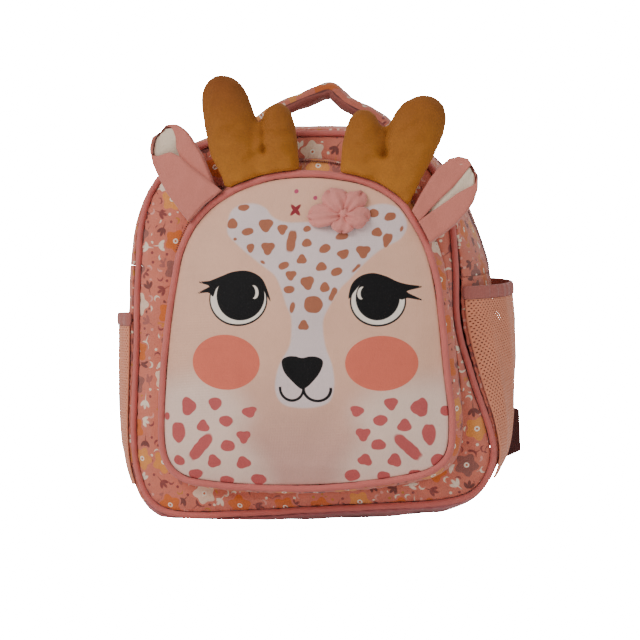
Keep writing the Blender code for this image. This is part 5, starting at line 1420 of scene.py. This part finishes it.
# %% Mesh side pockets
HOLE_ROW = 2.1
HOLE_PITCH = 2.4
HOLE_RADIUS = 0.62
YARN = 0.0009
BINDING_HALF = 0.005
NET_EDGES = (-0.985, 0.97)
NET_CELLS = 46
MESH_ROWS = (
    # along, share of the stand
    (0.00, 0.04), (0.08, 0.14), (0.18, 0.27), (0.32, 0.48), (0.56, 0.82), (0.80, 1.00), (1.00, 1.00),
)
MESH_LIFT = 0.0023
POCKETS = {
    # side, foot and top in body heights, stand in metres, folds in mm of run and depth
    "left": (-1.0, 0.094, 0.503, 0.0082, ((30, -30, 120, -34, 5.0, 0.7),)),
    "right": (1.0, 0.134, 0.577, 0.0145, ((0, -36, 120, -40, 4.0, 1.3), (10, -14, 130, -22, 6.0, 1.2),
                                          (20, 20, 120, 26, 8.0, 1.2))),
}


def holed_net(rows, cells):
    """Flat net in mm: corner lines at half pitches, then six hole corners for each cell."""
    columns = 2 * cells
    across, up = np.meshgrid(np.arange(columns + 1) * HOLE_PITCH / 2.0, np.arange(rows + 1) * HOLE_ROW)
    corners = np.stack([across.ravel(), up.ravel()], -1)
    row = np.repeat(np.arange(rows), cells)
    cell = np.tile(np.arange(cells), rows)
    fits = 2 * cell + row % 2 + 2 <= columns
    row, cell = row[fits], cell[fits]
    first = 2 * cell + row % 2
    low, high = row * (columns + 1) + first, (row + 1) * (columns + 1) + first
    outline = np.stack([low, low + 1, low + 2, high + 2, high + 1, high], -1)
    turns = np.radians([-150.0, -90.0, -30.0, 30.0, 90.0, 150.0])
    centre = np.stack([(first + 1) * HOLE_PITCH / 2.0, (row + 0.5) * HOLE_ROW], -1)
    hole = centre[:, None, :] + HOLE_RADIUS * np.stack([np.cos(turns), np.sin(turns)], -1)
    ring = len(corners) + np.arange(len(row))[:, None] * 6 + np.arange(6)[None, :]
    quads = np.stack([outline, np.roll(outline, -1, 1), np.roll(ring, -1, 1), ring], -1).reshape(-1, 4)
    odd = np.arange(1, rows, 2)
    left = np.stack([odd * (columns + 1), odd * (columns + 1) + 1,
                     (odd + 1) * (columns + 1) + 1, (odd + 1) * (columns + 1)], -1)
    return np.vstack([corners, hole.reshape(-1, 2)]), np.vstack([quads, left, left + columns - 1])


def pocket_lift(along, station, stand, lumps):
    """Clearance + stand * the row's share * the strip's fullness, with soft folds."""
    table = np.array(MESH_ROWS)
    full = np.interp(along, table[:, 0], table[:, 1]) * swell_profile(station)
    return MESH_LIFT + stand * full + np.maximum(lumps, -0.0012) * np.clip(full * 4.0, 0.0, 1.0)


mesh_peach = cloth_finish("peach_air_mesh", "#e08a66", 0.8, strength=0.2, roughness=0.7, wear=(0.9, 1.08))
for name, (side, foot, top, stand, fold_rows) in POCKETS.items():
    foot_share = share_at_height(foot * HEIGHT, side)
    top_share = share_at_height(top * HEIGHT, side)
    length = abs(top_share - foot_share) * FRONT_LENGTH * 1000
    rows = int(length / HOLE_ROW)
    flat, quads = holed_net(rows, NET_CELLS)
    station = np.interp(flat[:, 0], [0.0, flat[:, 0].max()], NET_EDGES)
    along = flat[:, 1] / flat[:, 1].max()
    shares = foot_share + (top_share - foot_share) * along
    lumps = folds(along * length, station * DEPTH * 500, fold_rows) * 0.001
    points = strip_point(shares, station, pocket_lift(along, station, stand, lumps))
    cloth_mm = np.hstack([flat, np.zeros((len(flat), 1))])
    pocket = sheet("mesh_pocket_%s_net" % name, points, quads.tolist(), {"cloth_mm": cloth_mm})
    if pocket.data.polygons[len(quads) // 2].normal.x * side < 0.0:
        pocket.data.flip_normals()
    yarn = pocket.modifiers.new("yarn", "SOLIDIFY")
    yarn.thickness = YARN
    yarn.offset = -1.0
    freeze(pocket)
    sew_in(pocket, mesh_peach, "peach_mesh", "mesh_pocket_" + name)

    station = np.linspace(*NET_EDGES, 90)
    toward = math.copysign(1.0, top_share - foot_share)
    a, b = round_section(24, 0.45)
    share = top_share + toward * (GAP + BINDING_HALF * (1.0 + a)) / FRONT_LENGTH
    lumps = folds(np.full(90, length), station * DEPTH * 500, fold_rows)[:, None] * 0.001
    groove = 0.0005 * np.exp(-((np.abs(a) - 0.72) / 0.10) ** 2)
    wave = 0.0004 * np.sin(station * 38.0)[:, None] + 0.0002 * np.sin(station * 91.0)[:, None]
    lift = pocket_lift(np.ones(1), station, stand, lumps[:, 0])[:, None] - 0.0007
    lift = lift + (0.0014 - groove) * b + wave
    binding = skin("mesh_binding_%s_tape" % name, strip_point(share[None, :], station[:, None], lift), {
        "cloth_mm": np.stack(np.broadcast_arrays(station[:, None] * 55.0, a[None, :] * 5.0, b[None, :]), -1)})
    sew_in(binding, binding_pink, "binding", "mesh_binding_" + name)

# %% [markdown]
# The flower is a strip of soft pink cloth gathered into petals and caught by one stitch. Each
# petal is a low pillow that starts narrow at the gather and opens out; its pleats run from the
# gather and fade, so they are a cosine across the petal times (1 - along).

# %% Flower
FLOWER_PLACE = (0.039, 0.236)
PETALS = (
    # turn from +X in degrees, length in mm, half width in mm, stand in mm
    (184.0, 26.5, 9.0, 7.6), (124.0, 21.0, 9.6, 8.6), (54.0, 19.5, 8.2, 7.2), (-14.0, 18.0, 8.6, 8.2),
    (-96.0, 13.5, 9.0, 6.6),
)
PETAL_ROWS = (
    # along, half width and stand there, as shares of the petal's own
    (0.05, 0.30, 0.45), (0.2, 0.62, 0.80), (0.45, 0.92, 1.00), (0.7, 1.00, 0.95), (0.88, 0.84, 0.75),
    (0.97, 0.50, 0.42), (1.0, 0.14, 0.10),
)


def face_depth(plane):
    """Y of the pocket face: its crown at the share of the way from its middle to its edge."""
    shares = np.arange(240) / 240
    rim = at_shares(POCKET, shares) - (POCKET_PIPING + GAP) * outward(POCKET, shares) - POCKET_HUB
    turn = np.arctan2(rim[:, 1], rim[:, 0])
    order = np.argsort(turn)
    away = plane - POCKET_HUB
    reach = np.linalg.norm(rim, axis=1)[order]
    radius = np.interp(np.arctan2(away[..., 1], away[..., 0]), turn[order], reach, period=math.tau)
    out = np.linalg.norm(away, axis=-1) / radius
    return POCKET_Y - POCKET_CROWN * (1.0 - out ** 2.4)


flower_cloth = cloth_finish("soft_pink_gathered_cloth", "#da857a", 1.0, strength=0.3,
                            roughness=0.75, sheen=0.3)
for number, (turn, length, half_width, stand) in enumerate(PETALS):
    table = np.array(PETAL_ROWS)
    along = np.linspace(0.05, 1.0, 34)
    width = np.interp(along, table[:, 0], table[:, 1]) * half_width * 0.001
    stand_row = np.interp(along, table[:, 0], table[:, 2]) * stand * 0.001
    a, b = round_section(40)
    long_way = np.array([math.cos(math.radians(turn)), math.sin(math.radians(turn))])
    wide_way = np.array([-long_way[1], long_way[0]])
    ruffle = 1.0 + 0.08 * np.cos(a * 5.0 + number * 2.3)
    reach = along[:, None] * length * 0.001 * ruffle[None, :]
    plane = np.array(FLOWER_PLACE) + reach[..., None] * long_way + (width[:, None] * a)[..., None] * wide_way
    pleats = 0.0017 * np.cos(a * 8.0 + number * 1.7)[None, :] * (1.0 - along ** 1.5)[:, None]
    top = np.where(b > 0.0, np.abs(b) ** 0.7, 0.0)[None, :] * (stand_row[:, None] + pleats)
    under = np.where(b < 0.0, 0.0003, 0.0)[None, :] * np.abs(b)
    points = place_loop(plane, face_depth(plane) - 0.0012 - top + under)
    petal = skin("flower_petal_%d_gathered" % (number + 1), points, {
        "cloth_mm": np.stack(np.broadcast_arrays(width[:, None] * a * 1000, reach * 1000, b), -1)})
    sew_in(petal, flower_cloth, "flower_cloth", "flower_petal_%d" % (number + 1))

turns = np.arange(24) * math.tau / 24
rise = np.linspace(0.06, math.pi - 0.06, 16)
radius = 0.0036 * (1.0 + 0.10 * np.cos(turns * 6.0))
hub_y = face_depth(np.array(FLOWER_PLACE)) - 0.0052
knot = np.stack([
    FLOWER_PLACE[0] + np.sin(rise)[:, None] * (radius * np.cos(turns))[None, :],
    hub_y - 0.0030 * np.cos(rise)[:, None] + 0.0 * turns[None, :],
    FLOWER_PLACE[1] + np.sin(rise)[:, None] * (radius * np.sin(turns))[None, :]], -1)
flower_knot = skin("flower_centre_knot", knot, {"cloth_mm": knot[..., [0, 2, 1]] * 1000})
sew_in(flower_knot, flower_cloth, "flower_cloth", "flower_centre")

# %% Finish
bpy.context.view_layer.update()
